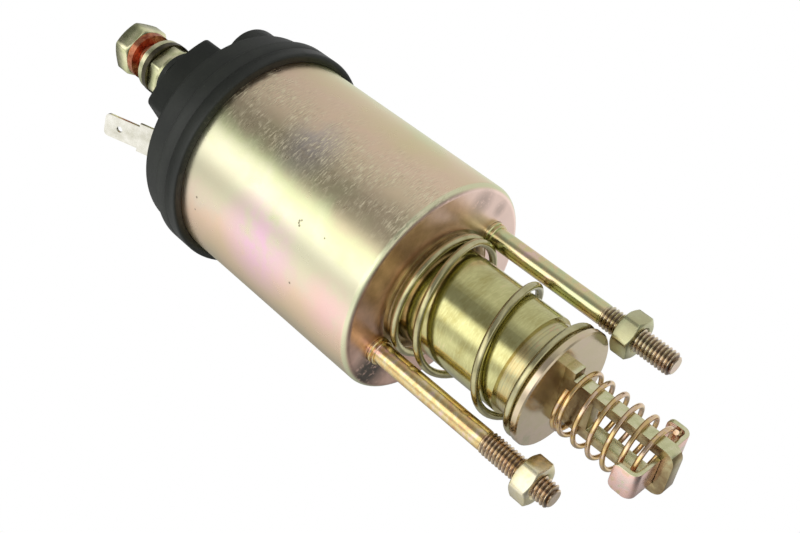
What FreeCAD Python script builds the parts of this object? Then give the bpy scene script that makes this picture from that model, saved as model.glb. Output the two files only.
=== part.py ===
# Starter solenoid with its spring-loaded shift link, in millimetres.
#
# The frame: the origin is the centre of the mounting face, +X is the axis the plunger comes out along,
# the two mounting studs lie on the Y axis, and +Z is up. The plunger is drawn at rest, pushed out.
import FreeCAD, Part
import math
import os
from FreeCAD import Placement, Rotation, Vector

# Fits and clearances
RUN_CLEARANCE = 0.06        # radial, the plunger in its guide tube and the rod in the fixed core
SEAT_CLEARANCE = 0.1        # radial, between pieces that are pushed together
TOUCH_GAP = 0.05            # between the round wire of a spring and its seat
SPRING_STEPS = 18           # straight lengths in one turn of a spring
STOP_GAP = 0.3              # between moving pieces at the end of their travel

# Housing can, a deep drawn steel cup
CAN_R = 29.0
CAN_WALL = 2.0
CAN_FRONT = 3.0
CAN_LENGTH = 66.0
CAN_EDGE_R = 1.7
FACE_RECESS = 0.3           # depth of the seat turned in the front face for the lip, spring and studs

# Plunger and its neck
PLUNGER_R = 13.3
PLUNGER_SHOULDER_X = 31.2
PLUNGER_NECK_R = 12.4
PLUNGER_FRONT_X = 38.6
PLUNGER_REAR_X = -25.0
PLUNGER_CHAMFER = 0.8
PLUNGER_STROKE = 13.0

# Retainer disc on the front of the plunger
DISC_R = 15.5
DISC_T = 2.0
DISC_EDGE = 0.35

# Guide tube with the flared lip that the return spring sits on
TUBE_WALL = 0.7
LIP_R = 16.0
LIP_T = 1.1

# Fixed core: a plate that closes the magnetic circuit and a stub inside the guide tube
CORE_PLATE_T = 5.0
SWITCH_ROOM = 7.0           # from the plate back to the rear edge of the can
LEAD_HOLE_R = 1.6

# Bobbin and its two windings
BOBBIN_WALL = 1.0
BOBBIN_FLANGE_T = 1.5
BOBBIN_FLANGE_GAP = 0.2
COIL_AIR = 1.84             # between the outer winding and the can
PULL_IN_SHARE = 0.52        # of the depth of both windings

# Terminal cap, moulded
CAP_OVERHANG = 2.35         # how far the flange stands out past the can
CAP_LAP = 3.6               # how far the flange reaches forward over the can
CAP_SEAM_W = 0.3
CAP_FLANGE_T = 4.2          # behind the seam, which lies at the rear edge of the can
CAP_FLANGE_STEP = 1.75      # from the rim of the flange in to the upper tier
CAP_TIER_H = 7.8
CAP_ROOF_T = 3.5
CAP_TIER_EDGE_R = 1.8
CAP_FLANGE_EDGE_R = 0.6
CAP_SPIGOT_WALL = 1.7
GASKET_T = 1.0

# Raised pads under the two main terminals
PAD_LENGTH = 22.5
PAD_INWARD = 9.0            # from the terminal in to the straight side of the pad
PAD_HEIGHT = 5.0
PAD_EDGE = 0.8
PAD_CORNER_R = 2.0
TERMINAL_BOSS_R = 8.0
TERMINAL_BOSS_H = 3.2

# Screws that hold the cap on the fixed core, each in a round tower
SCREW_ANGLE = 42.0
SCREW_FROM_CAN = 8.5        # from the outside of the can in to the screw
SCREW_SHANK_R = 2.0
SCREW_HEAD_R = 3.5
SCREW_HEAD_T = 2.6
SCREW_RECESS_DEPTH = 4.5
SCREW_THREAD_IN_CORE = 4.0
SCREW_SLOT_W = 1.0
SCREW_SLOT_DEPTH = 1.2
TOWER_R = 8.5
TOWER_HEIGHT = 4.4
TOWER_EDGE_R = 3.0

# Main terminals, M8 copper bolts; the second one is the first turned half a turn about the axis
TERMINAL_Y = -3.0
TERMINAL_FROM_CAN = 9.0     # from the outside of the can in to the bolt, along Z
BOLT_R = 4.0
BOLT_HEAD_R = 5.5
BOLT_HEAD_FLATS = 9.4
BOLT_HEAD_T = 3.5
BOLT_STICK_OUT = 1.7        # past the outer nut
BOLT_CHAMFER = 0.8
M8_NUT_AF = 13.0
M8_NUT_BORE_R = 4.05
INNER_NUT_T = 4.6
OUTER_NUT_T = 5.4
INNER_NUT_TURN = 54.0
OUTER_NUT_TURN = 6.0
SEAT_WASHER_R = 7.6
SEAT_WASHER_T = 1.2
DARK_WASHER_R = 7.4
DARK_WASHER_T = 1.6
FLAT_WASHER_R = 7.2
FLAT_WASHER_T = 1.7
SPRING_WASHER_R = 6.4
SPRING_WASHER_T = 2.0
SPRING_WASHER_SLIT = 1.0
LUG_SPACE = 4.2             # thread left bare between the flat and the spring washer

# Spade terminal
SPADE_ANGLE = 142.0
SPADE_FROM_CAN = 5.4        # from the outside of the can in to the blade
SPADE_TILT = 24.0
SPADE_T = 0.8
SPADE_W = 6.3
SPADE_BASE_W = 8.1
SPADE_BASE_L = 7.5
SPADE_LENGTH = 17.5
SPADE_CORNER_R = 1.3
SPADE_HOLE_R = 0.85
SPADE_HOLE_FROM_TIP = 4.4
SPADE_TAIL_W = 3.0
SPADE_TAIL_L = 2.0
LEAD_R = 0.8

# Contact set: the rod that the plunger pushes, and the copper bridge that joins the bolt heads
ROD_R = 2.9
ROD_TRAVEL = 3.0
ROD_COLLAR_R = 4.6
ROD_COLLAR_T = 1.2
ROD_STEM_R = 2.0
ROD_END_ROOM = 0.5
BRIDGE_FROM_SCREW = 1.5     # between the bridge and the cap's screws
BRIDGE_T = 2.0
INSULATOR_R = 6.0
INSULATOR_T = 1.2
ROD_RETAINER_R = 3.6
ROD_RETAINER_T = 0.8
CONTACT_WIRE_R = 0.45
CONTACT_SPRING_R = 3.4
CONTACT_SPRING_TURNS = 2.5
OPENING_WIRE_R = 0.4
OPENING_SPRING_SMALL_R = 3.0
OPENING_SPRING_LARGE_R = 6.0
OPENING_SPRING_TURNS = 3.0

# Mounting studs, M6
STUD_Y = 20.0
STUD_SHANK_R = 2.7
STUD_THREAD_R = 2.95
STUD_THREAD_X = 36.0
STUD_TIP_X = 55.8
STUD_CHAMFER = 0.9
STUD_COLLAR_R = 3.4
STUD_COLLAR_T = 0.8
STUD_GROOVE_R = 3.0
STUD_GROOVE_W = 0.3
STUD_RING_R = 3.3
STUD_RING_T = 0.8
M6_NUT_AF = 10.0
M6_NUT_T = 4.8
M6_NUT_BORE_R = 3.0
NEAR_NUT_X = 46.8
FAR_NUT_X = 40.9
NUT_CHAMFER_ANGLE = 30.0
STUD_NUT_TURN = 20.0

# Return spring, between the lip of the guide tube and the retainer disc
RETURN_WIRE_R = 1.0
RETURN_R_AT_LIP = 16.0
RETURN_R_AT_DISC = 14.4
RETURN_START_ANGLE = 20.0
RETURN_FREE_TURNS = 1.85
RETURN_CLOSED_START = 1.05
RETURN_CLOSED_END = 0.9

# Link plate: a flat eye plate fixed in the front of the plunger, turned about the axis
LINK_TURN = -26.0
LINK_T = 3.5
LINK_HALF_H = 6.7
LINK_END_X = 71.0
LINK_END_CORNER_R = 3.0
LINK_SHOULDER_HALF_H = 8.8
LINK_SHOULDER_L = 2.8
LINK_TANG_HALF_H = 5.0
LINK_TANG_L = 12.0
WINDOW_HALF_H = 3.95
WINDOW_START_X = 49.5
WINDOW_END_X = 68.15
WINDOW_CORNER_R = 0.2

# Spring clip: a bent strip through the window, which the shift lever pushes against
CLIP_HALF_W = 3.8
CLIP_T = 1.15
CLIP_HALF_SPAN = 10.0
CLIP_FLANGE_L = 6.0
CLIP_BEND_R = 2.2
CLIP_CORNER_R = 1.6
CLIP_STOP_GAP = 0.1

# Link spring, between the shoulders of the link plate and the clip
LINK_WIRE_R = 0.6
LINK_COIL_R = 7.75
LINK_COIL_START_ANGLE = 100.0
LINK_COIL_FREE_TURNS = 4.8
LINK_COIL_CLOSED_TURNS = 1.0

# Places worked out from the sizes above
AXIS = Vector(1, 0, 0)
TINY = 1e-6
CAN_BORE_R = CAN_R - CAN_WALL
CAN_REAR_X = -CAN_LENGTH
COIL_LENGTH = CAN_LENGTH - CAN_FRONT - CORE_PLATE_T - SWITCH_ROOM
TUBE_BORE_R = PLUNGER_R + RUN_CLEARANCE
TUBE_R = TUBE_BORE_R + TUBE_WALL
LIP_X = LIP_T - FACE_RECESS
SEAT_R = RETURN_R_AT_LIP + RETURN_WIRE_R + SEAT_CLEARANCE
PLUNGER_IN_X = PLUNGER_REAR_X - PLUNGER_STROKE
COIL_REAR_X = -CAN_FRONT - COIL_LENGTH
CORE_REAR_X = COIL_REAR_X - CORE_PLATE_T
BOBBIN_BORE_R = TUBE_R + SEAT_CLEARANCE
BOBBIN_BARREL_R = BOBBIN_BORE_R + BOBBIN_WALL
WINDING_START_X = COIL_REAR_X + BOBBIN_FLANGE_T
WINDING_END_X = -CAN_FRONT - BOBBIN_FLANGE_T
HOLD_IN_R = CAN_BORE_R - COIL_AIR
PULL_IN_R = BOBBIN_BARREL_R + PULL_IN_SHARE * (HOLD_IN_R - BOBBIN_BARREL_R)
CAP_SKIRT_X = CAN_REAR_X + CAP_LAP
CAP_FLANGE_END_X = CAN_REAR_X - CAP_FLANGE_T
CAP_ROOF_X = CAP_FLANGE_END_X - CAP_TIER_H
CAP_FLANGE_R = CAN_R + CAP_OVERHANG
CAP_TIER_R = CAP_FLANGE_R - CAP_FLANGE_STEP
SCREW_CIRCLE_R = CAN_R - SCREW_FROM_CAN
BRIDGE_R = SCREW_CIRCLE_R - SCREW_SHANK_R - BRIDGE_FROM_SCREW
TERMINAL_Z = CAN_R - TERMINAL_FROM_CAN
PAD_INNER_Z = TERMINAL_Z - PAD_INWARD
SPADE_CIRCLE_R = CAN_R - SPADE_FROM_CAN
CAP_SHOULDER_X = CAN_REAR_X - GASKET_T
CAP_SPIGOT_R = CAN_BORE_R - SEAT_CLEARANCE
CAP_CAVITY_R = CAP_SPIGOT_R - CAP_SPIGOT_WALL
CAP_INNER_X = CAP_ROOF_X + CAP_ROOF_T
PAD_X = CAP_ROOF_X - PAD_HEIGHT
BOLT_HEAD_X = CAP_INNER_X + BOLT_HEAD_T
DISC_FRONT_X = PLUNGER_FRONT_X + DISC_T
LINK_SEAT_X = DISC_FRONT_X + LINK_SHOULDER_L
ROD_TIP_X = PLUNGER_IN_X + ROD_TRAVEL - STOP_GAP
COLLAR_X = CORE_REAR_X - STOP_GAP
BRIDGE_REAR_X = BOLT_HEAD_X + ROD_TRAVEL + STOP_GAP
BRIDGE_FRONT_X = BRIDGE_REAR_X + BRIDGE_T
ROD_END_X = CAP_INNER_X + ROD_TRAVEL + ROD_END_ROOM
CLIP_WEB_X = WINDOW_END_X - CLIP_STOP_GAP
TERMINAL_SEAT_X = PAD_X - TERMINAL_BOSS_H
INNER_NUT_X = TERMINAL_SEAT_X - SEAT_WASHER_T
DARK_WASHER_X = INNER_NUT_X - INNER_NUT_T
FLAT_WASHER_X = DARK_WASHER_X - DARK_WASHER_T
SPRING_WASHER_X = FLAT_WASHER_X - FLAT_WASHER_T - LUG_SPACE
OUTER_NUT_X = SPRING_WASHER_X - SPRING_WASHER_T
BOLT_END_X = OUTER_NUT_X - OUTER_NUT_T - BOLT_STICK_OUT


def rod(x_rear, x_front, radius, y=0.0, z=0.0):
    """A plain round bar along X."""
    return Part.makeCylinder(radius, x_front - x_rear, Vector(x_rear, y, z), AXIS)


def ring(x_rear, x_front, outer, inner, y=0.0, z=0.0):
    """A bar along X with a bore through it."""
    return rod(x_rear, x_front, outer, y, z).cut(rod(x_rear, x_front, inner, y, z))


def turned(outline):
    """The solid that the closed outline of (x, radius) points sweeps round the X axis."""
    points = [Vector(x, 0, radius) for x, radius in outline]
    face = Part.Face(Part.makePolygon(points + points[:1]))
    return face.revolve(Vector(), AXIS, 360)


def circle_edges(shape, x, radius):
    """The circular edges at this x with this radius."""
    return [
        edge
        for edge in shape.Edges
        if isinstance(edge.Curve, Part.Circle)
        and abs(edge.Curve.Center.x - x) < TINY
        and abs(edge.Curve.Radius - radius) < TINY
    ]


def edges_along_x(shape, y_range, z_range):
    """The straight edges along X whose middle lies in the two ranges."""
    found = []
    for edge in shape.Edges:
        box = edge.BoundBox
        middle = box.Center
        thin = box.YLength < TINY and box.ZLength < TINY
        if thin and y_range[0] <= middle.y <= y_range[1] and z_range[0] <= middle.z <= z_range[1]:
            found.append(edge)
    return found


def turn_about_axis(shape, degrees):
    """A copy turned about the solenoid's axis."""
    copy = shape.copy()
    copy.rotate(Vector(), AXIS, degrees)
    return copy


def coil(start_angle, laws):
    """Points round X. Each law is (turns, x at start, x at end, radius at start, radius at end)."""
    points = []
    angle = math.radians(start_angle)
    for turns, x_start, x_end, r_start, r_end in laws:
        steps = max(2, round(turns * SPRING_STEPS))
        for i in range(steps + 1):
            share = i / steps
            a = angle + share * turns * 2 * math.pi
            r = r_start + (r_end - r_start) * share
            x = x_start + (x_end - x_start) * share
            point = Vector(x, r * math.cos(a), r * math.sin(a))
            if not points or (point - points[-1]).Length > TINY:
                points.append(point)
        angle += turns * 2 * math.pi
    return points


def round_wire(points, wire_r):
    """Round wire through the points: a ring across the path at each, joined to the next by a straight skin."""
    last = len(points) - 1
    rings = []
    for i, point in enumerate(points):
        along = points[min(i + 1, last)] - points[max(i - 1, 0)]
        outward = Vector(0, point.y, point.z)
        circle = Part.makeCircle(wire_r)
        circle.Placement = Placement(point, Rotation(outward, Vector(), along, "ZXY"))
        rings.append(circle)
    skins = [Part.makeRuledSurface(a, b) for a, b in zip(rings, rings[1:])]
    ends = [Part.Face(Part.Wire(end)) for end in (rings[0], rings[-1])]
    shell = Part.makeShell(skins + ends)
    shell.sewShape()
    return Part.makeSolid(shell)


def hex_nut(x_rear, thickness, across_flats, bore_r, y, z, turn):
    """A hexagon nut along X, its corners chamfered at both ends."""
    corner_r = across_flats / 2 / math.cos(math.pi / 6)
    corners = []
    for i in range(7):
        a = math.radians(turn + 60 * i)
        corners.append(Vector(x_rear, y + corner_r * math.cos(a), z + corner_r * math.sin(a)))
    block = Part.Face(Part.makePolygon(corners)).extrude(Vector(thickness, 0, 0))
    flat_r = across_flats / 2 * 0.97
    drop = (corner_r - flat_r) * math.tan(math.radians(NUT_CHAMFER_ANGLE))
    envelope = turned([
        (x_rear, 0),
        (x_rear, flat_r),
        (x_rear + drop, corner_r),
        (x_rear + thickness - drop, corner_r),
        (x_rear + thickness, flat_r),
        (x_rear + thickness, 0),
    ])
    envelope.translate(Vector(0, y, z))
    return block.common(envelope).cut(rod(x_rear, x_rear + thickness, bore_r, y, z))


def housing_can():
    """The steel cup: a thick front wall with the holes for the guide tube and studs, open at the rear."""
    cup = turned([
        (-FACE_RECESS, TUBE_R + SEAT_CLEARANCE),
        (-FACE_RECESS, SEAT_R),
        (0, SEAT_R),
        (0, CAN_R),
        (CAN_REAR_X, CAN_R),
        (CAN_REAR_X, CAN_BORE_R),
        (-CAN_FRONT, CAN_BORE_R),
        (-CAN_FRONT, TUBE_R + SEAT_CLEARANCE),
    ])
    cup = cup.makeFillet(CAN_EDGE_R, circle_edges(cup, 0, CAN_R))
    for y in (-STUD_Y, STUD_Y):
        cup = cup.cut(rod(-CAN_FRONT, 0, STUD_SHANK_R, y))
        cup = cup.cut(rod(-FACE_RECESS, 0, STUD_COLLAR_R + SEAT_CLEARANCE, y))
    return cup


def guide_tube():
    """The brass sleeve the plunger runs in, flared into a lip over the front of the can."""
    tube = turned([
        (LIP_X, TUBE_BORE_R),
        (LIP_X, LIP_R),
        (-FACE_RECESS, LIP_R),
        (-FACE_RECESS, TUBE_R),
        (COIL_REAR_X, TUBE_R),
        (COIL_REAR_X, TUBE_BORE_R),
    ])
    rims = circle_edges(tube, LIP_X, TUBE_BORE_R) + circle_edges(tube, LIP_X, LIP_R)
    return tube.makeChamfer(LIP_T / 3, rims)


def bobbin():
    """The coil former, a thin barrel between two flanges, notched where the leads come out."""
    flange_r = CAN_BORE_R - BOBBIN_FLANGE_GAP
    body = turned([
        (-CAN_FRONT, BOBBIN_BORE_R),
        (-CAN_FRONT, flange_r),
        (WINDING_END_X, flange_r),
        (WINDING_END_X, BOBBIN_BARREL_R),
        (WINDING_START_X, BOBBIN_BARREL_R),
        (WINDING_START_X, flange_r),
        (COIL_REAR_X, flange_r),
        (COIL_REAR_X, BOBBIN_BORE_R),
    ])
    for angle in lead_angles():
        body = body.cut(lead_bar(angle, COIL_REAR_X, WINDING_START_X, LEAD_HOLE_R))
    return body


def winding(inner_r, outer_r):
    """One layer of copper wire, drawn as a solid ring between the bobbin's flanges."""
    return ring(WINDING_START_X, WINDING_END_X, outer_r, inner_r)


def lead_angles():
    """Where round the axis the two leads run: the spade's and the motor terminal's."""
    return [SPADE_ANGLE, math.degrees(math.atan2(-TERMINAL_Z, -TERMINAL_Y))]


def lead_bar(angle, x_rear, x_front, radius):
    """A bar along X on the circle of the leads."""
    a = math.radians(angle)
    return rod(x_rear, x_front, radius, SPADE_CIRCLE_R * math.cos(a), SPADE_CIRCLE_R * math.sin(a))


def fixed_core():
    """The rear pole: a plate with a stub that the plunger stops against, bored for the rod."""
    body = turned([
        (CORE_REAR_X, ROD_R + RUN_CLEARANCE),
        (CORE_REAR_X, CAN_BORE_R - TOUCH_GAP),
        (COIL_REAR_X, CAN_BORE_R - TOUCH_GAP),
        (COIL_REAR_X, PLUNGER_R),
        (PLUNGER_IN_X - STOP_GAP, PLUNGER_R),
        (PLUNGER_IN_X - STOP_GAP, ROD_R + RUN_CLEARANCE),
    ])
    for angle in lead_angles():
        body = body.cut(lead_bar(angle, CORE_REAR_X, COIL_REAR_X, LEAD_HOLE_R))
    for y, z in screw_places():
        body = body.cut(rod(CORE_REAR_X, CORE_REAR_X + SCREW_THREAD_IN_CORE, SCREW_SHANK_R, y, z))
    return body


def screw_places():
    """The centres of the two cap screws, opposite each other."""
    a = math.radians(SCREW_ANGLE)
    y = SCREW_CIRCLE_R * math.cos(a)
    z = SCREW_CIRCLE_R * math.sin(a)
    return [(y, z), (-y, -z)]


def cap_shell():
    """The round cup of the cap: skirt over the can, spigot inside it, flange, seam and rear tier."""
    shell = turned([
        (CAP_INNER_X, 0),
        (CAP_INNER_X, CAP_CAVITY_R),
        (CORE_REAR_X, CAP_CAVITY_R),
        (CORE_REAR_X, CAP_SPIGOT_R),
        (CAP_SHOULDER_X, CAP_SPIGOT_R),
        (CAP_SHOULDER_X, CAN_R + SEAT_CLEARANCE),
        (CAP_SKIRT_X, CAN_R + SEAT_CLEARANCE),
        (CAP_SKIRT_X, CAP_FLANGE_R),
        (CAN_REAR_X + CAP_SEAM_W / 2, CAP_FLANGE_R),
        (CAN_REAR_X, CAP_FLANGE_R - CAP_SEAM_W),
        (CAN_REAR_X - CAP_SEAM_W / 2, CAP_FLANGE_R),
        (CAP_FLANGE_END_X, CAP_FLANGE_R),
        (CAP_FLANGE_END_X, CAP_TIER_R),
        (CAP_ROOF_X, CAP_TIER_R),
        (CAP_ROOF_X, 0),
    ])
    shell = shell.makeFillet(CAP_TIER_EDGE_R, circle_edges(shell, CAP_ROOF_X, CAP_TIER_R))
    corners = circle_edges(shell, CAP_SKIRT_X, CAP_FLANGE_R) + circle_edges(shell, CAP_FLANGE_END_X, CAP_FLANGE_R)
    return shell.makeFillet(CAP_FLANGE_EDGE_R, corners)


def terminal_pad():
    """The raised block under the upper terminal, cut to the tier's round outline, with a round boss on it."""
    block = Part.makeBox(
        PAD_HEIGHT + CAP_ROOF_T / 2,
        PAD_LENGTH,
        CAP_TIER_R,
        Vector(PAD_X, TERMINAL_Y - PAD_LENGTH / 2, PAD_INNER_Z),
    )
    block = block.common(rod(PAD_X, CAP_ROOF_X + CAP_ROOF_T / 2, CAP_TIER_R - PAD_EDGE))
    block = block.makeFillet(PAD_CORNER_R, edges_along_x(block, (-CAP_TIER_R, CAP_TIER_R), (0, CAP_TIER_R)))
    top = [e for e in block.Edges if abs(e.BoundBox.XMin - PAD_X) < TINY and e.BoundBox.XLength < TINY]
    block = block.makeChamfer(PAD_EDGE, top)
    return block.fuse(rod(TERMINAL_SEAT_X, PAD_X, TERMINAL_BOSS_R, TERMINAL_Y, TERMINAL_Z))


def screw_tower(y, z):
    """A rounded tower round a cap screw."""
    x_top = CAP_ROOF_X - TOWER_HEIGHT
    tower = rod(x_top, CAP_ROOF_X + CAP_ROOF_T / 2, TOWER_R, y, z)
    return tower.makeFillet(TOWER_EDGE_R, circle_edges(tower, x_top, TOWER_R))


def bolt_head(clearance, x_rear, x_front):
    """The flatted round head of a terminal bolt at the upper terminal, or its pocket."""
    head = rod(x_rear, x_front, BOLT_HEAD_R + clearance, TERMINAL_Y, TERMINAL_Z)
    width = BOLT_HEAD_FLATS + 2 * clearance
    corner = Vector(x_rear, TERMINAL_Y - width / 2, TERMINAL_Z - BOLT_HEAD_R - clearance)
    return head.common(Part.makeBox(x_front - x_rear, width, 2 * (BOLT_HEAD_R + clearance), corner))


def terminal_cap():
    """The black moulding that closes the rear and carries the terminals."""
    cap = cap_shell()
    for half_turn in (0, 180):
        cap = cap.fuse(turn_about_axis(terminal_pad(), half_turn))
    for y, z in screw_places():
        cap = cap.fuse(screw_tower(y, z))
    for y, z in screw_places():
        recess_x = CAP_ROOF_X - TOWER_HEIGHT + SCREW_RECESS_DEPTH
        cap = cap.cut(rod(PAD_X, recess_x, SCREW_HEAD_R + SEAT_CLEARANCE, y, z))
        cap = cap.cut(rod(recess_x, CAP_INNER_X, SCREW_SHANK_R + SEAT_CLEARANCE, y, z))
    for half_turn in (0, 180):
        hole = rod(TERMINAL_SEAT_X, CAP_INNER_X, BOLT_R + SEAT_CLEARANCE, TERMINAL_Y, TERMINAL_Z)
        pocket = bolt_head(SEAT_CLEARANCE, CAP_INNER_X, CORE_REAR_X)
        cap = cap.cut(turn_about_axis(hole.fuse(pocket), half_turn))
    return cap.cut(spade_slot()).removeSplitter()


def cap_gasket():
    """The flat rubber ring between the rim of the can and the cap."""
    return ring(CAP_SHOULDER_X, CAN_REAR_X, CAN_R, CAN_BORE_R)


def cap_screws():
    """Two slotted screws through the cap into the fixed core."""
    screws = []
    for y, z in screw_places():
        seat_x = CAP_ROOF_X - TOWER_HEIGHT + SCREW_RECESS_DEPTH
        head = rod(seat_x - SCREW_HEAD_T, seat_x, SCREW_HEAD_R, y, z)
        shank = rod(seat_x, CORE_REAR_X + SCREW_THREAD_IN_CORE, SCREW_SHANK_R, y, z)
        slot = Part.makeBox(
            SCREW_SLOT_DEPTH,
            2 * SCREW_HEAD_R,
            SCREW_SLOT_W,
            Vector(seat_x - SCREW_HEAD_T, y - SCREW_HEAD_R, z - SCREW_SLOT_W / 2),
        )
        screws.append(head.fuse(shank).cut(slot).removeSplitter())
    return Part.makeCompound(screws)


def place_spade(shape):
    """Moves what is drawn with -X along the blade and Y across it to the spade's place on the cap."""
    placed = shape.copy()
    placed.rotate(Vector(), Vector(0, 1, 0), SPADE_TILT)
    placed.translate(Vector(CAP_ROOF_X, 0, SPADE_CIRCLE_R))
    placed.rotate(Vector(), AXIS, SPADE_ANGLE - 90)
    return placed


def spade_terminal():
    """The tinned blade with its wider foot, and the narrow tail inside the cap."""
    foot = Part.makeBox(SPADE_BASE_L, SPADE_BASE_W, SPADE_T, Vector(-SPADE_BASE_L, -SPADE_BASE_W / 2, -SPADE_T / 2))
    blade = Part.makeBox(SPADE_LENGTH, SPADE_W, SPADE_T, Vector(-SPADE_LENGTH, -SPADE_W / 2, -SPADE_T / 2))
    tips = [
        edge
        for edge in blade.Edges
        if edge.BoundBox.XLength < TINY and edge.BoundBox.YLength < TINY and edge.BoundBox.XMin < -SPADE_BASE_L
    ]
    blade = blade.makeFillet(SPADE_CORNER_R, tips)
    hole_x = SPADE_HOLE_FROM_TIP - SPADE_LENGTH
    hole = Part.makeCylinder(SPADE_HOLE_R, SPADE_T, Vector(hole_x, 0, -SPADE_T / 2))
    spade = foot.fuse(blade).cut(hole).fuse(spade_tail(0))
    return place_spade(spade.removeSplitter())


def spade_tail(clearance):
    """The part of the spade that passes through the roof of the cap, or its slot."""
    length = CAP_ROOF_T + SPADE_TAIL_L
    width = SPADE_TAIL_W + 2 * clearance
    thickness = SPADE_T + 2 * clearance
    return Part.makeBox(length, width, thickness, Vector(0, -width / 2, -thickness / 2))


def spade_slot():
    """The slot in the roof of the cap, and the flat its foot stands on."""
    foot = Part.makeBox(
        SPADE_BASE_L,
        SPADE_BASE_W + 2 * SEAT_CLEARANCE,
        SPADE_T + 2 * SEAT_CLEARANCE,
        Vector(-SPADE_BASE_L, -SPADE_BASE_W / 2 - SEAT_CLEARANCE, -SPADE_T / 2 - SEAT_CLEARANCE),
    )
    return place_spade(spade_tail(SEAT_CLEARANCE).fuse(foot))


def winding_lead(angle, x_rear):
    """A stiff lead from the coil through the fixed core, along X."""
    return lead_bar(angle, x_rear, WINDING_START_X, LEAD_R)


def terminal_bolt():
    """The upper M8 copper bolt, its head inside the cap."""
    shank = rod(BOLT_END_X, CAP_INNER_X, BOLT_R, TERMINAL_Y, TERMINAL_Z)
    shank = shank.makeChamfer(BOLT_CHAMFER, circle_edges(shank, BOLT_END_X, BOLT_R))
    return bolt_head(0, CAP_INNER_X, BOLT_HEAD_X).fuse(shank).removeSplitter()


def washer(x_front, thickness, radius):
    """A washer on the upper terminal bolt."""
    return ring(x_front - thickness, x_front, radius, BOLT_R + TOUCH_GAP, TERMINAL_Y, TERMINAL_Z)


def spring_washer():
    """A split washer on the upper terminal bolt, its slit cut at a slant."""
    body = washer(SPRING_WASHER_X, SPRING_WASHER_T, SPRING_WASHER_R)
    slit = Part.makeBox(2 * SPRING_WASHER_T, SPRING_WASHER_R, SPRING_WASHER_SLIT)
    slit.translate(Vector(-SPRING_WASHER_T, 0, -SPRING_WASHER_SLIT / 2))
    slit.rotate(Vector(), Vector(0, 1, 0), 30)
    slit.translate(Vector(SPRING_WASHER_X - SPRING_WASHER_T / 2, TERMINAL_Y, TERMINAL_Z))
    return body.cut(slit)


def terminal_pieces():
    """The pieces stacked on the upper terminal, by name."""
    return {
        "terminal_bolt": terminal_bolt(),
        "seat_washer": washer(TERMINAL_SEAT_X, SEAT_WASHER_T, SEAT_WASHER_R),
        "inner_nut": hex_nut(
            INNER_NUT_X - INNER_NUT_T, INNER_NUT_T, M8_NUT_AF, M8_NUT_BORE_R, TERMINAL_Y, TERMINAL_Z,
            INNER_NUT_TURN),
        "dark_washer": washer(DARK_WASHER_X, DARK_WASHER_T, DARK_WASHER_R),
        "flat_washer": washer(FLAT_WASHER_X, FLAT_WASHER_T, FLAT_WASHER_R),
        "spring_washer": spring_washer(),
        "outer_nut": hex_nut(
            OUTER_NUT_X - OUTER_NUT_T, OUTER_NUT_T, M8_NUT_AF, M8_NUT_BORE_R, TERMINAL_Y, TERMINAL_Z,
            OUTER_NUT_TURN),
    }


def contact_rod():
    """The steel rod: a thick part in the fixed core, a collar behind it and a thin stem."""
    return turned([
        (ROD_END_X, 0),
        (ROD_END_X, ROD_STEM_R),
        (COLLAR_X - ROD_COLLAR_T, ROD_STEM_R),
        (COLLAR_X - ROD_COLLAR_T, ROD_COLLAR_R),
        (COLLAR_X, ROD_COLLAR_R),
        (COLLAR_X, ROD_R),
        (ROD_TIP_X, ROD_R),
        (ROD_TIP_X, 0),
    ])


def stem_disc(x_rear, thickness, radius):
    """A disc threaded on the stem of the contact rod."""
    return ring(x_rear, x_rear + thickness, radius, ROD_STEM_R + TOUCH_GAP)


def contact_spring():
    """The spring between the rod's collar and the bridge, which lets the rod travel on."""
    x_start = BRIDGE_FRONT_X + INSULATOR_T + CONTACT_WIRE_R + TOUCH_GAP
    x_end = COLLAR_X - ROD_COLLAR_T - CONTACT_WIRE_R - TOUCH_GAP
    law = (CONTACT_SPRING_TURNS, x_start, x_end, CONTACT_SPRING_R, CONTACT_SPRING_R)
    return round_wire(coil(0, [law]), CONTACT_WIRE_R)


def opening_spring():
    """The cone spring between the roof of the cap and the rod, which opens the contacts."""
    x_start = CAP_INNER_X + OPENING_WIRE_R + TOUCH_GAP
    x_end = BRIDGE_REAR_X - INSULATOR_T - ROD_RETAINER_T - OPENING_WIRE_R - TOUCH_GAP
    law = (OPENING_SPRING_TURNS, x_start, x_end, OPENING_SPRING_LARGE_R, OPENING_SPRING_SMALL_R)
    return round_wire(coil(0, [law]), OPENING_WIRE_R)


def mounting_stud(y):
    """A stud fixed in the front of the can, with its stepped collar, shank and threaded end."""
    ring_x = STUD_COLLAR_T + STUD_GROOVE_W
    stud = turned([
        (-CAN_FRONT, 0),
        (-CAN_FRONT, STUD_SHANK_R),
        (-FACE_RECESS, STUD_SHANK_R),
        (-FACE_RECESS, STUD_COLLAR_R),
        (STUD_COLLAR_T, STUD_COLLAR_R),
        (STUD_COLLAR_T, STUD_GROOVE_R),
        (ring_x, STUD_GROOVE_R),
        (ring_x, STUD_RING_R),
        (ring_x + STUD_RING_T, STUD_RING_R),
        (ring_x + STUD_RING_T, STUD_SHANK_R),
        (STUD_THREAD_X, STUD_SHANK_R),
        (STUD_THREAD_X + STUD_THREAD_R - STUD_SHANK_R, STUD_THREAD_R),
        (STUD_TIP_X - STUD_CHAMFER, STUD_THREAD_R),
        (STUD_TIP_X, STUD_THREAD_R - STUD_CHAMFER),
        (STUD_TIP_X, 0),
    ])
    stud.translate(Vector(0, y, 0))
    return stud


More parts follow.
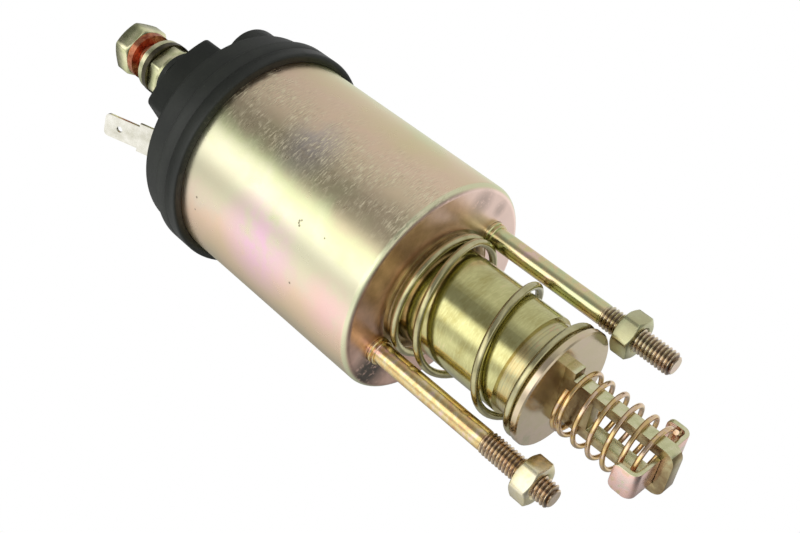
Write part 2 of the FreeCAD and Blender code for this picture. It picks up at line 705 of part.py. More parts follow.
def plunger():
    """The sliding iron core, with a turned neck in front and a pocket for the link's tang."""
    body = turned([
        (PLUNGER_REAR_X, 0),
        (PLUNGER_REAR_X, PLUNGER_R - PLUNGER_CHAMFER),
        (PLUNGER_REAR_X + PLUNGER_CHAMFER, PLUNGER_R),
        (PLUNGER_SHOULDER_X, PLUNGER_R),
        (PLUNGER_SHOULDER_X, PLUNGER_NECK_R),
        (PLUNGER_FRONT_X, PLUNGER_NECK_R),
        (PLUNGER_FRONT_X, 0),
    ])
    return body.cut(link_tang(TOUCH_GAP))


def retainer_disc():
    """The disc that holds the return spring, held by the shoulders of the link plate."""
    disc = rod(PLUNGER_FRONT_X, DISC_FRONT_X, DISC_R)
    rims = circle_edges(disc, PLUNGER_FRONT_X, DISC_R) + circle_edges(disc, DISC_FRONT_X, DISC_R)
    return disc.makeChamfer(DISC_EDGE, rims).cut(link_tang(TOUCH_GAP))


def link_tang(clearance):
    """The end of the link plate inside the disc and the plunger, or its pocket."""
    half_t = LINK_T / 2 + clearance
    half_h = LINK_TANG_HALF_H + clearance
    corner = Vector(DISC_FRONT_X - LINK_TANG_L - clearance, -half_t, -half_h)
    tang = Part.makeBox(LINK_TANG_L + clearance, 2 * half_t, 2 * half_h, corner)
    return turn_about_axis(tang, LINK_TURN)


def flat_bar(x_rear, x_front, half_h):
    """A piece of the link plate's own thickness, before it is turned."""
    return Part.makeBox(x_front - x_rear, LINK_T, 2 * half_h, Vector(x_rear, -LINK_T / 2, -half_h))


def upright_corners(shape, x):
    """The edges across the plate's thickness at this x."""
    return [
        edge
        for edge in shape.Edges
        if abs(edge.BoundBox.YLength - LINK_T) < TINY and edge.BoundBox.ZLength < TINY
        and edge.BoundBox.XLength < TINY and abs(edge.BoundBox.XMin - x) < TINY
    ]


def link_plate():
    """The eye plate: tang, spring shoulders, and the long window that the clip slides in."""
    plate = flat_bar(DISC_FRONT_X, LINK_END_X, LINK_HALF_H)
    plate = plate.makeFillet(LINK_END_CORNER_R, upright_corners(plate, LINK_END_X))
    window = flat_bar(WINDOW_START_X, WINDOW_END_X, WINDOW_HALF_H)
    corners = upright_corners(window, WINDOW_START_X) + upright_corners(window, WINDOW_END_X)
    plate = plate.cut(window.makeFillet(WINDOW_CORNER_R, corners))
    shoulders = flat_bar(DISC_FRONT_X, LINK_SEAT_X, LINK_SHOULDER_HALF_H)
    plate = turn_about_axis(plate.fuse(shoulders), LINK_TURN)
    return plate.fuse(link_tang(0)).removeSplitter()


def spring_clip():
    """The strip through the window, both ends bent back outside the link spring."""
    front = CLIP_WEB_X
    back = front - CLIP_FLANGE_L
    outer = Part.makeBox(
        CLIP_FLANGE_L, 2 * CLIP_HALF_SPAN, 2 * CLIP_HALF_W, Vector(back, -CLIP_HALF_SPAN, -CLIP_HALF_W))
    inner_span = CLIP_HALF_SPAN - CLIP_T
    inner = Part.makeBox(
        CLIP_FLANGE_L - CLIP_T, 2 * inner_span, 2 * CLIP_HALF_W, Vector(back, -inner_span, -CLIP_HALF_W))
    outer = outer.makeFillet(CLIP_BEND_R, clip_bends(outer, front))
    inner = inner.makeFillet(CLIP_BEND_R - CLIP_T, clip_bends(inner, front - CLIP_T))
    strip = outer.cut(inner)
    free = [
        edge
        for edge in strip.Edges
        if edge.BoundBox.XLength < TINY and edge.BoundBox.ZLength < TINY
        and abs(edge.BoundBox.XMin - back) < TINY
    ]
    return turn_about_axis(strip.makeFillet(CLIP_CORNER_R, free), LINK_TURN)


def clip_bends(box, x):
    """The two edges along Z at this x."""
    return [
        edge
        for edge in box.Edges
        if edge.BoundBox.XLength < TINY and edge.BoundBox.YLength < TINY and abs(edge.BoundBox.XMin - x) < TINY
    ]


def return_spring():
    """The large spring that pushes the plunger out, closed at both ends."""
    pitch = 2 * RETURN_WIRE_R + TOUCH_GAP
    x_lip = LIP_X + RETURN_WIRE_R + TOUCH_GAP
    x_disc = PLUNGER_FRONT_X - RETURN_WIRE_R - TOUCH_GAP
    x_free_start = x_lip + RETURN_CLOSED_START * pitch
    x_free_end = x_disc - RETURN_CLOSED_END * pitch * 0.5
    laws = [
        (RETURN_CLOSED_START, x_lip, x_free_start, RETURN_R_AT_LIP, RETURN_R_AT_LIP),
        (RETURN_FREE_TURNS, x_free_start, x_free_end, RETURN_R_AT_LIP, RETURN_R_AT_DISC),
        (RETURN_CLOSED_END, x_free_end, x_disc, RETURN_R_AT_DISC, RETURN_R_AT_DISC),
    ]
    return round_wire(coil(RETURN_START_ANGLE, laws), RETURN_WIRE_R)


def link_spring():
    """The small spring round the link plate, closed at both ends."""
    pitch = 2 * LINK_WIRE_R + TOUCH_GAP
    x_seat = LINK_SEAT_X + LINK_WIRE_R + TOUCH_GAP
    x_clip = CLIP_WEB_X - CLIP_T - LINK_WIRE_R - TOUCH_GAP
    x_free_start = x_seat + LINK_COIL_CLOSED_TURNS * pitch
    x_free_end = x_clip - LINK_COIL_CLOSED_TURNS * pitch
    laws = [
        (LINK_COIL_CLOSED_TURNS, x_seat, x_free_start, LINK_COIL_R, LINK_COIL_R),
        (LINK_COIL_FREE_TURNS, x_free_start, x_free_end, LINK_COIL_R, LINK_COIL_R),
        (LINK_COIL_CLOSED_TURNS, x_free_end, x_clip, LINK_COIL_R, LINK_COIL_R),
    ]
    return round_wire(coil(LINK_COIL_START_ANGLE, laws), LINK_WIRE_R)


def all_pieces():
    """Every node of the solenoid with its shape."""
    pieces = {
        "housing_can": housing_can(),
        "guide_tube": guide_tube(),
        "bobbin": bobbin(),
        "pull_in_winding": winding(BOBBIN_BARREL_R, PULL_IN_R),
        "hold_in_winding": winding(PULL_IN_R, HOLD_IN_R),
        "fixed_core": fixed_core(),
        "cap_gasket": cap_gasket(),
        "terminal_cap": terminal_cap(),
        "cap_screws": cap_screws(),
        "spade_terminal": spade_terminal(),
        "spade_lead": winding_lead(lead_angles()[0], CAP_INNER_X + SPADE_TAIL_L + STOP_GAP),
        "motor_lead": winding_lead(lead_angles()[1], BOLT_HEAD_X + TOUCH_GAP),
        "contact_rod": contact_rod(),
        "front_insulator": stem_disc(BRIDGE_FRONT_X, INSULATOR_T, INSULATOR_R),
        "contact_bridge": stem_disc(BRIDGE_REAR_X, BRIDGE_T, BRIDGE_R),
        "rear_insulator": stem_disc(BRIDGE_REAR_X - INSULATOR_T, INSULATOR_T, INSULATOR_R),
        "rod_retainer": stem_disc(
            BRIDGE_REAR_X - INSULATOR_T - ROD_RETAINER_T, ROD_RETAINER_T, ROD_RETAINER_R),
        "contact_spring": contact_spring(),
        "opening_spring": opening_spring(),
        "near_mounting_stud": mounting_stud(-STUD_Y),
        "far_mounting_stud": mounting_stud(STUD_Y),
        "near_stud_nut": hex_nut(NEAR_NUT_X, M6_NUT_T, M6_NUT_AF, M6_NUT_BORE_R, -STUD_Y, 0, STUD_NUT_TURN),
        "far_stud_nut": hex_nut(FAR_NUT_X, M6_NUT_T, M6_NUT_AF, M6_NUT_BORE_R, STUD_Y, 0, STUD_NUT_TURN),
        "plunger": plunger(),
        "retainer_disc": retainer_disc(),
        "link_plate": link_plate(),
        "return_spring": return_spring(),
        "spring_clip": spring_clip(),
        "link_spring": link_spring(),
    }
    for name, piece in terminal_pieces().items():
        pieces["battery_" + name] = piece
        pieces["motor_" + name] = turn_about_axis(piece, 180)
    return pieces


os.makedirs("parts", exist_ok=True)
for node, shape in all_pieces().items():
    shape.exportStep("parts/" + node + ".step")
    print(node, "solids", len(shape.Solids), "volume", round(shape.Volume, 1), "valid", shape.isValid())
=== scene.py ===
# %% [markdown]
# # Starter solenoid
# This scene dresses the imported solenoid: a yellow-zinc steel can with a black moulded cap, two studs, and
# a plunger that carries a sprung link. Most CAD pieces keep their shape and get a finish here. Springs,
# threaded pieces, nuts, the cap and the two link pieces are made again with rounder edges and real
# threads, because those show as small highlights in a photograph.

# %% Frame
import math

import bmesh
import bpy
from mathutils import Matrix, Vector


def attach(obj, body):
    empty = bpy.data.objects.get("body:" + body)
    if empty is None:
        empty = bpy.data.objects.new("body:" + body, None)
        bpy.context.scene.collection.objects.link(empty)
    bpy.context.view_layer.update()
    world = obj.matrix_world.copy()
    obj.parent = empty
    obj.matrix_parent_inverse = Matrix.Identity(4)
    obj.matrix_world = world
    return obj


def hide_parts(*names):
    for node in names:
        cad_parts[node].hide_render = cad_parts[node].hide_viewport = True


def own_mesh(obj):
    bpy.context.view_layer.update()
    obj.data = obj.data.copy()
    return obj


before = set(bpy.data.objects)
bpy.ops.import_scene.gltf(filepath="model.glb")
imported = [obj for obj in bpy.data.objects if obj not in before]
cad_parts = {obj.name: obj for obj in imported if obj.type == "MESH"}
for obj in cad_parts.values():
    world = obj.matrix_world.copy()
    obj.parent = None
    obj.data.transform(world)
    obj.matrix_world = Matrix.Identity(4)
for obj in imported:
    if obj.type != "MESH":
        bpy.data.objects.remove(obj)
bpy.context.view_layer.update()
MM = 0.001
FULL_TURN = 2 * math.pi

# %% [markdown]
# ## Camera
# The photograph was taken from in front and above, looking back along the plunger to the cap. The place
# of the eye and the length of the lens come from the rims of the can, the neck and the disc, whose
# circles turn into ellipses whose width and tilt fix the view. A camera can also be set by eye, but then
# every piece is compared against a view that is slightly wrong.

# %% Camera
FRAME_WIDTH_PX = 800
FOCAL_PX = 1166.8
SENSOR_MM = 36.0
EYE = Vector((128.98, -62.89, 239.66)) * MM
RIGHT = Vector((0.6838, 0.6954, -0.2210))
UP = Vector((-0.5372, 0.6847, 0.4926))
CLIP_START = 0.01
CLIP_END = 20.0


def photo_camera():
    """The camera at the photograph's place, its lens worked out from the focal length in pixels."""
    data = bpy.data.cameras.new("photo_camera")
    data.sensor_width = SENSOR_MM
    data.lens = FOCAL_PX / FRAME_WIDTH_PX * SENSOR_MM
    data.clip_start = CLIP_START
    data.clip_end = CLIP_END
    camera = bpy.data.objects.new("photo_camera", data)
    bpy.context.scene.collection.objects.link(camera)
    right = RIGHT.normalized()
    up = (UP - right * UP.dot(right)).normalized()
    back = right.cross(up)
    turn = Matrix((right, up, back)).transposed().to_4x4()
    camera.matrix_world = Matrix.Translation(EYE) @ turn
    bpy.context.scene.camera = camera
    return camera


camera = photo_camera()
print("lens mm:", round(camera.data.lens, 2))

# %% [markdown]
# ## Node graphs as expressions
# Both materials and Geometry Nodes are graphs of small sums. Wired by hand they are hard to read, so one
# class wraps a socket: an expression such as a * 2 + b adds the Math nodes. Colours go through Mix,
# because a Math node would turn them grey.

# %% A number in a graph
class Value:
    """A number in a node graph. Arithmetic on it adds Math nodes, also in 1 - mask."""

    def __init__(self, graph, socket):
        self.graph = graph
        self.socket = socket

    def math(self, operation, *others):
        return self.graph.math(operation, self, *others)

    def __add__(self, other):
        return self.graph.math("ADD", self, other)

    __radd__ = __add__

    def __sub__(self, other):
        return self.graph.math("SUBTRACT", self, other)

    def __rsub__(self, other):
        return self.graph.math("SUBTRACT", other, self)

    def __mul__(self, other):
        return self.graph.math("MULTIPLY", self, other)

    __rmul__ = __mul__

    def __truediv__(self, other):
        return self.graph.math("DIVIDE", self, other)

    def __rtruediv__(self, other):
        return self.graph.math("DIVIDE", other, self)

    def clamp(self):
        """Kept between 0 and 1."""
        return self.math("MINIMUM", 1.0).math("MAXIMUM", 0.0)

    def step(self, low, high):
        """0 below low, 1 above high, straight between."""
        return ((self - low) / (high - low)).clamp()


print("value class ready")

# %% The graph itself
MIX_FACTOR, MIX_FIRST, MIX_SECOND, MIX_COLOUR = 0, 6, 7, 2


def fill_ramp(ramp, stops):
    """Sets a colour ramp's stops from (position, colour) pairs."""
    while len(ramp.elements) > 1:
        ramp.elements.remove(ramp.elements[0])
    ramp.elements[0].position = stops[0][0]
    for position, _ in stops[1:]:
        ramp.elements.new(position)
    for element, (position, colour) in zip(ramp.elements, stops):
        element.position = position
        element.color = (*colour, 1.0)


class Graph:
    """A node tree with one method for any node, and short names for the common ones."""

    def __init__(self, tree):
        self.tree = tree

    def node(self, kind, settings=None, inputs=None):
        made = self.tree.nodes.new(kind)
        for name, value in (settings or {}).items():
            if name == "stops":
                fill_ramp(made.color_ramp, value)
            else:
                setattr(made, name, value)
        for key, value in (inputs or {}).items():
            self.feed(made.inputs[key], value)
        return made

    def feed(self, socket, value):
        """Links a value or socket, or sets a constant on the socket itself."""
        if isinstance(value, Value):
            self.tree.links.new(value.socket, socket)
        elif isinstance(value, bpy.types.NodeSocket):
            self.tree.links.new(value, socket)
        elif socket.type == "RGBA":
            socket.default_value = (*value, 1.0)
        else:
            socket.default_value = value

    def math(self, operation, *values):
        made = self.node("ShaderNodeMath", {"operation": operation}, dict(enumerate(values)))
        return Value(self, made.outputs[0])

    def mix(self, factor, first, second, blend="MIX"):
        """Two colours mixed. Returns the colour socket."""
        colours = {MIX_FACTOR: factor, MIX_FIRST: first, MIX_SECOND: second}
        made = self.node("ShaderNodeMix", {"data_type": "RGBA", "blend_type": blend}, colours)
        return made.outputs[MIX_COLOUR]

    def ramp(self, value, stops):
        """A colour for each value. Returns the colour socket."""
        return self.node("ShaderNodeValToRGB", {"stops": stops}, {0: value}).outputs[0]

    def parts(self, vector):
        """The x, y and z of a vector socket."""
        split = self.node("ShaderNodeSeparateXYZ", inputs={0: vector})
        return [Value(self, out) for out in split.outputs]

    def vector(self, x, y, z):
        """Three values as a vector socket."""
        return self.node("ShaderNodeCombineXYZ", inputs={0: x, 1: y, 2: z}).outputs[0]


print("graph class ready")

# %% [markdown]
# ## Light
# The metal shows what surrounds it, so the surroundings are the main light: long soft boxes on both
# sides, parallel to the can, white paper below, and a dark gap overhead where the camera was. A world
# shader can hold all of that as a ramp round the object's axis, which gives even bands on every round
# piece. One more small box stands high in front, for the faces that look forward. The floor is plain
# white to the camera and lets the surroundings shine through, as a lit table would.

# %% Surroundings
WHITE = (1.0, 1.0, 1.0)
SURROUND_GAIN = 2.0
# Turns round the X axis, from +Y through +Z, and the brightness there.
SURROUND_LEVELS = [
    (0.000, 0.36), (0.150, 0.36), (0.190, 0.22), (0.225, 0.16), (0.285, 0.15), (0.312, 0.90), (0.378, 0.95),
    (0.412, 0.42), (0.440, 0.40), (0.475, 0.60), (0.520, 0.58), (0.570, 0.42), (0.650, 0.28), (0.720, 0.16),
    (0.775, 0.18), (0.805, 0.40), (0.840, 0.48), (0.930, 0.38), (1.000, 0.36),
]
BOX_ENDS = (0.60, 0.80)
END_LEVEL = 0.30
FRONT_BOX_X = (0.72, 0.80)
FRONT_BOX_Z = (0.22, 0.34)
FRONT_LEVEL = 0.50


def grey(level):
    """A grey colour."""
    return (level, level, level)


def camera_sees(graph, shown, otherwise):
    """One shader for what the camera sees directly, another for light and reflections."""
    direct = graph.node("ShaderNodeLightPath").outputs["Is Camera Ray"]
    return graph.node("ShaderNodeMixShader", inputs={0: direct, 1: otherwise, 2: shown}).outputs[0]


def studio_world():
    """White to the camera; soft boxes round the X axis to everything else."""
    world = bpy.data.worlds.new("studio")
    world.use_nodes = True
    world.node_tree.nodes.clear()
    graph = Graph(world.node_tree)
    x, y, z = graph.parts(graph.node("ShaderNodeTexCoord").outputs["Generated"])
    around = (z.math("ARCTAN2", y) / FULL_TURN).math("FRACT")
    boxes = graph.ramp(around, [(turn, grey(level)) for turn, level in SURROUND_LEVELS])
    ends = x.math("ABSOLUTE").step(*BOX_ENDS)
    front_box = x.step(*FRONT_BOX_X) * z.step(*FRONT_BOX_Z)
    boxes = graph.mix(front_box, boxes, grey(FRONT_LEVEL))
    strength = (1 - ends * (1 - front_box) * (1 - END_LEVEL)) * SURROUND_GAIN
    lit = graph.node("ShaderNodeBackground", inputs={"Color": boxes, "Strength": strength})
    plain_white = graph.node("ShaderNodeBackground", inputs={"Color": WHITE, "Strength": 1.0})
    both = camera_sees(graph, plain_white.outputs[0], lit.outputs[0])
    graph.node("ShaderNodeOutputWorld", inputs={0: both})
    bpy.context.scene.world = world


studio_world()
bpy.context.scene.view_settings.view_transform = "Standard"
print("levels round the axis:", len(SURROUND_LEVELS))

# %% Floor
FLOOR_Z = -0.0335
FLOOR_HALF = 3.0
SQUARE = [(-1, -1), (1, -1), (1, 1), (-1, 1)]


def light_table():
    """The pale floor just under the lowest edge of the cap."""
    mesh = bpy.data.meshes.new("light_table")
    mesh.from_pydata([(x * FLOOR_HALF, y * FLOOR_HALF, FLOOR_Z) for x, y in SQUARE], [], [(0, 1, 2, 3)])
    material = bpy.data.materials.new("lit_paper")
    material.use_nodes = True
    material.node_tree.nodes.clear()
    graph = Graph(material.node_tree)
    paper = graph.node("ShaderNodeEmission", inputs={"Color": WHITE, "Strength": 1.0})
    clear = graph.node("ShaderNodeBsdfTransparent")
    both = camera_sees(graph, paper.outputs[0], clear.outputs[0])
    graph.node("ShaderNodeOutputMaterial", inputs={0: both})
    mesh.materials.append(material)
    floor = bpy.data.objects.new("light_table", mesh)
    bpy.context.scene.collection.objects.link(floor)


light_table()
print("floor at mm:", FLOOR_Z / MM)

# %% [markdown]
# ## Patterns for all finishes
# Real metal and plastic are never one even colour. Each finish here is built from the same few patterns:
# wide soft patches, finer mottling, a grain of about a tenth of a millimetre, and scratches that run
# round the axis. All of them read the place on the piece in millimetres, so a pattern keeps its real size
# on every piece and moves with it.

# %% Patterns
MIDDLE = (0.3, 0.7)
SPECKLE_MM = 1 / 9
SPECKLE_RANGE = (0.1, 0.9)
BUMP_MM = 0.05
SCRATCH_LONG = 0.16
SCRATCH_ACROSS = 2.8
SCRATCH_AMOUNT = 0.50
SCRATCH_EDGE = 0.10


def surface(name, metallic):
    """A material with its Principled shader, and the piece's place in millimetres."""
    material = bpy.data.materials.new(name)
    material.use_nodes = True
    material.node_tree.nodes.clear()
    graph = Graph(material.node_tree)
    shader = graph.node("ShaderNodeBsdfPrincipled", inputs={"Metallic": metallic})
    graph.node("ShaderNodeOutputMaterial", inputs={0: shader.outputs[0]})
    place = graph.node("ShaderNodeTexCoord").outputs["Object"]
    scaled = graph.node("ShaderNodeVectorMath", {"operation": "SCALE"}, {0: place, "Scale": 1 / MM})
    return material, graph, shader, scaled.outputs[0]


def noise(graph, place, patch_mm, detail=2.0, rough=0.5, distortion=0.0):
    """Soft random values round 0.5, in patches of about this size."""
    sizes = {"Scale": 1 / patch_mm, "Detail": detail, "Roughness": rough, "Distortion": distortion}
    made = graph.node("ShaderNodeTexNoise", {"noise_dimensions": "3D"}, {"Vector": place, **sizes})
    return Value(graph, made.outputs[0])


def drifting(graph, place, patch_mm, distortion=0.6):
    """Wide patches with wavy edges."""
    return noise(graph, place, patch_mm, 2.0, 0.5, distortion)


def broken(graph, place, patch_mm):
    """Patches with broken edges."""
    return noise(graph, place, patch_mm, 3.0, 0.6)


def polar(graph, place):
    """The place as x, distance from the axis, and angle round it."""
    x, y, z = graph.parts(place)
    return x, (y * y + z * z).math("SQRT"), z.math("ARCTAN2", y)


def distance(graph, place, point):
    """How far the place is from a point, in millimetres."""
    made = graph.node("ShaderNodeVectorMath", {"operation": "DISTANCE"}, {0: place, 1: point})
    return Value(graph, made.outputs["Value"])


def round_mark(graph, place, point, reach, core):
    """1 round a point, out to a share of its reach, then falling to 0."""
    return 1 - distance(graph, place, point).step(reach * core, reach)


def round_scratches(graph, place, shift):
    """Short fine scratches round the axis, as wiping and rolling leave them: 1 in a scratch."""
    x, radius, angle = polar(graph, place)
    along = radius * angle
    stretched = graph.vector(x * SCRATCH_ACROSS + shift, along * SCRATCH_LONG * SCRATCH_ACROSS, radius)
    lines = noise(graph, stretched, 1.0, 3.0, 0.65)
    return lines.step(1 - SCRATCH_AMOUNT, 1 - SCRATCH_AMOUNT + SCRATCH_EDGE)


def shaded(graph, colour, shade):
    """The colour times a grey value."""
    return graph.mix(1.0, colour, graph.vector(shade, shade, shade), "MULTIPLY")


def speckled(graph, place, colour, darkest, depth):
    """The colour with a fine grain in it, and the grain itself for the bump."""
    speckle = noise(graph, place, SPECKLE_MM, 2.0, 0.7)
    return shaded(graph, colour, speckle.step(*SPECKLE_RANGE) * depth + darkest), speckle


def stained(graph, colour, mask, stain):
    """The colour under a stain where the mask is 1. A stain is a tint and how much it covers."""
    tint, cover = stain
    return graph.mix(mask * cover, colour, tint)


def bump(graph, shader, height, strength, depth_mm=BUMP_MM):
    """Height in 0 to 1 raised on the surface."""
    heights = {"Strength": strength, "Distance": depth_mm * MM, "Height": height}
    graph.feed(shader.inputs["Normal"], graph.node("ShaderNodeBump", inputs=heights).outputs[0])


print("grain mm:", round(SPECKLE_MM, 3))

# %% [markdown]
# ## Yellow zinc
# Nearly every steel piece has the same finish: zinc plating dipped in yellow chromate. The film is so
# thin that its colour wanders between straw, olive, green and pink over a few millimetres. One function
# makes all of these finishes from a list of film colours, a patch size and a roughness, so that they stay
# relatives of each other. The studs also have painted shade in the valleys of their threads and worn,
# paler crests.

# %% Film colours
STRAW = (0.74, 0.62, 0.34)
CREAM = (0.84, 0.77, 0.58)
OLIVE = (0.52, 0.50, 0.27)
LEAF = (0.60, 0.64, 0.36)
ROSE = (0.82, 0.58, 0.52)
GOLD = (0.72, 0.52, 0.22)
COPPER = (0.66, 0.40, 0.24)
DRAB = (0.50, 0.48, 0.28)
DUN = (0.70, 0.56, 0.41)

FILMS = {
    "stud_near": [
        (0.0, (0.38, 0.24, 0.11)), (0.25, COPPER), (0.45, GOLD), (0.65, STRAW), (0.85, ROSE), (1.0, STRAW),
    ],
    "stud_far": [(0.0, OLIVE), (0.3, LEAF), (0.55, STRAW), (0.8, ROSE), (1.0, ROSE)],
    "nut_near": [
        (0.0, (0.66, 0.68, 0.40)), (0.35, (0.80, 0.72, 0.42)), (0.7, CREAM), (1.0, (0.74, 0.78, 0.46)),
    ],
    "nut_far": [(0.0, OLIVE), (0.5, DRAB), (1.0, LEAF)],
    "plunger": [
        (0.0, (0.42, 0.37, 0.13)), (0.35, (0.52, 0.49, 0.22)), (0.65, (0.60, 0.58, 0.27)), (1.0, STRAW),
    ],
    "neck": [(0.0, (0.46, 0.32, 0.14)), (0.4, (0.60, 0.50, 0.24)), (0.7, OLIVE), (1.0, COPPER)],
    "disc": [(0.0, DRAB), (0.35, DUN), (0.7, (0.66, 0.56, 0.36)), (1.0, DUN)],
    "link": [
        (0.0, (0.20, 0.12, 0.06)), (0.4, (0.30, 0.22, 0.11)), (0.7, (0.42, 0.34, 0.18)), (1.0, DRAB),
    ],
    # The paler film for the narrow sides of the link plate and clip is a painted highlight.
    "link_edge": [(0.0, DRAB), (0.4, (0.66, 0.66, 0.38)), (0.7, (0.78, 0.74, 0.50)), (1.0, LEAF)],
    "clip": [
        (0.0, GOLD), (0.25, (0.66, 0.54, 0.30)), (0.5, (0.88, 0.58, 0.50)), (0.8, (0.78, 0.60, 0.54)),
        (1.0, LEAF),
    ],
    "wire_pale": [(0.0, (0.34, 0.32, 0.16)), (0.5, (0.48, 0.44, 0.24)), (1.0, (0.60, 0.56, 0.34))],
    "wire_gold": [(0.0, COPPER), (0.4, GOLD), (0.7, (0.74, 0.54, 0.40)), (1.0, STRAW)],
    "terminal": [
        (0.0, (0.54, 0.55, 0.29)), (0.4, (0.68, 0.69, 0.40)), (0.7, (0.84, 0.80, 0.52)),
        (1.0, (0.74, 0.70, 0.40)),
    ],
}
print("films:", len(FILMS))

# %% Chromate finish
WANDER_RANGE = (0.28, 0.72)
MOTTLE = 0.35
MOTTLE_FINER = 4
ZINC_GRAIN = (0.875, 0.25)
ZINC_GRAIN_HEIGHT = 0.4
ZINC_BUMP = 0.07
ZINC_ROUGHNESS_SPREAD = 0.12
STUD_Y = 20.0
THREAD_X = (35.4, 36.4)
THREAD_END_X = (55.3, 55.5)
VALLEY_RADII = (2.48, 2.78)
# Darker thread valleys are painted shade.
VALLEY_SHADE = ((0.15, 0.10, 0.075), 0.85)
WORN_THREAD = ((0.76, 0.62, 0.49), 0.6)


def worn_and_shaded_thread(graph, place, colour, axis_y):
    """A stud's colour, paler along its thread, with painted shade in the valleys."""
    x, y, z = graph.parts(place)
    on_thread = x.step(*THREAD_X)
    radius = ((y - axis_y) * (y - axis_y) + z * z).math("SQRT")
    # The valleys of the thread are darkened: painted shade.
    valley = on_thread * (1 - x.step(*THREAD_END_X)) * (1 - radius.step(*VALLEY_RADII))
    return stained(graph, stained(graph, colour, on_thread, WORN_THREAD), valley, VALLEY_SHADE)


def chromate(name, patch_mm, roughness, mottle=MOTTLE, stud_y=None):
    """Yellow zinc: film colours that wander with a patch size, mottled, and on a stud worn along the thread
    with painted shade in its valleys.
    """
    material, graph, shader, place = surface("zinc_" + name, 1.0)
    wander = drifting(graph, place, patch_mm)
    fine = broken(graph, place, patch_mm / MOTTLE_FINER)
    film = wander.step(*WANDER_RANGE) * (1 - mottle) + fine.step(*MIDDLE) * mottle
    colour, speckle = speckled(graph, place, graph.ramp(film, FILMS[name]), *ZINC_GRAIN)
    if stud_y is not None:
        colour = worn_and_shaded_thread(graph, place, colour, stud_y)
    graph.feed(shader.inputs["Base Color"], colour)
    spread = fine * ZINC_ROUGHNESS_SPREAD
    graph.feed(shader.inputs["Roughness"], spread + (roughness - ZINC_ROUGHNESS_SPREAD / 2))
    bump(graph, shader, speckle * ZINC_GRAIN_HEIGHT, ZINC_BUMP)
    return material


zinc = {
    "stud_near": chromate("stud_near", 6, 0.22, mottle=0.5, stud_y=-STUD_Y),
    "stud_far": chromate("stud_far", 9, 0.20, stud_y=STUD_Y),
    "nut_near": chromate("nut_near", 5, 0.34),
    "nut_far": chromate("nut_far", 5, 0.32),
    "disc": chromate("disc", 12, 0.22),
    "link": chromate("link", 6, 0.30),
    "link_edge": chromate("link_edge", 4, 0.26),
    "clip": chromate("clip", 5, 0.26),
    "wire_pale": chromate("wire_pale", 8, 0.20),
    "wire_gold": chromate("wire_gold", 4, 0.22),
    "terminal": chromate("terminal", 5, 0.26),
}
print("chromate finishes:", len(zinc))

# %% [markdown]
# ## The can
# The can is the biggest surface, and the photograph shows several things on it at once: wide pink, straw
# and olive bands, two pink spots and a violet one, a belt of fine scratches on top where it was handled, a
# few dark pits, and a front face that is browner and smudged. The scratches are paler as wear and as a
# painted glint, and a pale band on the front rim is a painted highlight. They are separate masks, so that
# each can be placed and made stronger on its own.

# %% Can colours
CAN_R = 29.0
# Turns round the X axis, from +Y through +Z, and the film colour there.
CAN_FILMS = [
    (0.000, (0.66, 0.62, 0.40)), (0.065, (0.66, 0.68, 0.35)), (0.110, (0.76, 0.64, 0.38)),
    (0.170, (0.82, 0.62, 0.45)), (0.240, (0.76, 0.62, 0.42)), (0.275, (0.68, 0.60, 0.38)),
    (0.300, (0.70, 0.72, 0.42)), (0.330, (0.82, 0.79, 0.56)), (0.365, (0.80, 0.74, 0.52)),
    (0.390, (0.84, 0.70, 0.54)), (0.420, (0.93, 0.69, 0.50)), (0.470, (0.86, 0.67, 0.43)),
    (0.530, (0.68, 0.63, 0.39)), (0.700, (0.72, 0.60, 0.42)), (0.850, (0.62, 0.60, 0.36)),
    (1.000, (0.66, 0.62, 0.40)),
]
FILM_PATCH_MM = 26
FILM_WAVES = 0.8
FILM_WANDER = 0.13
FILM_MOTTLE_MM = 5
FILM_MOTTLE = 0.05
# Each spot has its middle, its reach, and its stain: a tint and how much it covers.
SPOTS = [
    ((-32.8, -22.8, 17.9), 15.0, ((0.96, 0.62, 0.76), 0.9)),
    ((-6.9, -23.9, 16.4), 10.0, ((0.96, 0.62, 0.60), 0.7)),
    ((-34.8, 1.6, 29.0), 10.0, ((0.50, 0.46, 0.50), 0.6)),
]
SPOT_CORE = 0.2
SPOT_PATCHES = (0.1, 0.5)
FACE_X = (-0.5, -0.1)
FACE_FILMS = [
    (0.00, (0.42, 0.28, 0.20)), (0.35, (0.66, 0.43, 0.33)), (0.65, (0.82, 0.55, 0.44)),
    (1.00, (0.88, 0.63, 0.50)),
]
FACE_PINK = (1.0, 0.76, 0.66)
FACE_PINK_Y = (-2, 18)
FACE_PINK_WAVES_MM = 16
RIM_X = (-1.5, -1.1)
# A thin pale band round the front rim of the can: a painted highlight.
RIM_HIGHLIGHT = ((0.74, 0.77, 0.50), 0.8)


def can_films(graph, place, wander, fine, front):
    """The plated colour of the can before wear, with a painted highlight on its front rim."""
    x, radius, angle = polar(graph, place)
    y = graph.parts(place)[1]
    drift = (wander - 0.5) * FILM_WANDER + (fine - 0.5) * FILM_MOTTLE
    turned = (angle / FULL_TURN + drift).math("FRACT")
    film = wander.step(*MIDDLE) * 0.5 + fine.step(*MIDDLE) * 0.5
    pinker = (y + (fine - 0.5) * FACE_PINK_WAVES_MM).step(*FACE_PINK_Y)
    face = graph.mix(pinker, graph.ramp(film, FACE_FILMS), FACE_PINK)
    colour = graph.mix(front, graph.ramp(turned, CAN_FILMS), face)
    for point, reach, stain in SPOTS:
        spot = round_mark(graph, place, point, reach, SPOT_CORE) * film.step(*SPOT_PATCHES)
        colour = stained(graph, colour, spot * (1 - front), stain)
    # The pale band on the front rim is a painted highlight.
    return stained(graph, colour, x.step(*RIM_X) * (1 - front), RIM_HIGHLIGHT)


print("films round the can:", len(CAN_FILMS), "spots:", len(SPOTS))

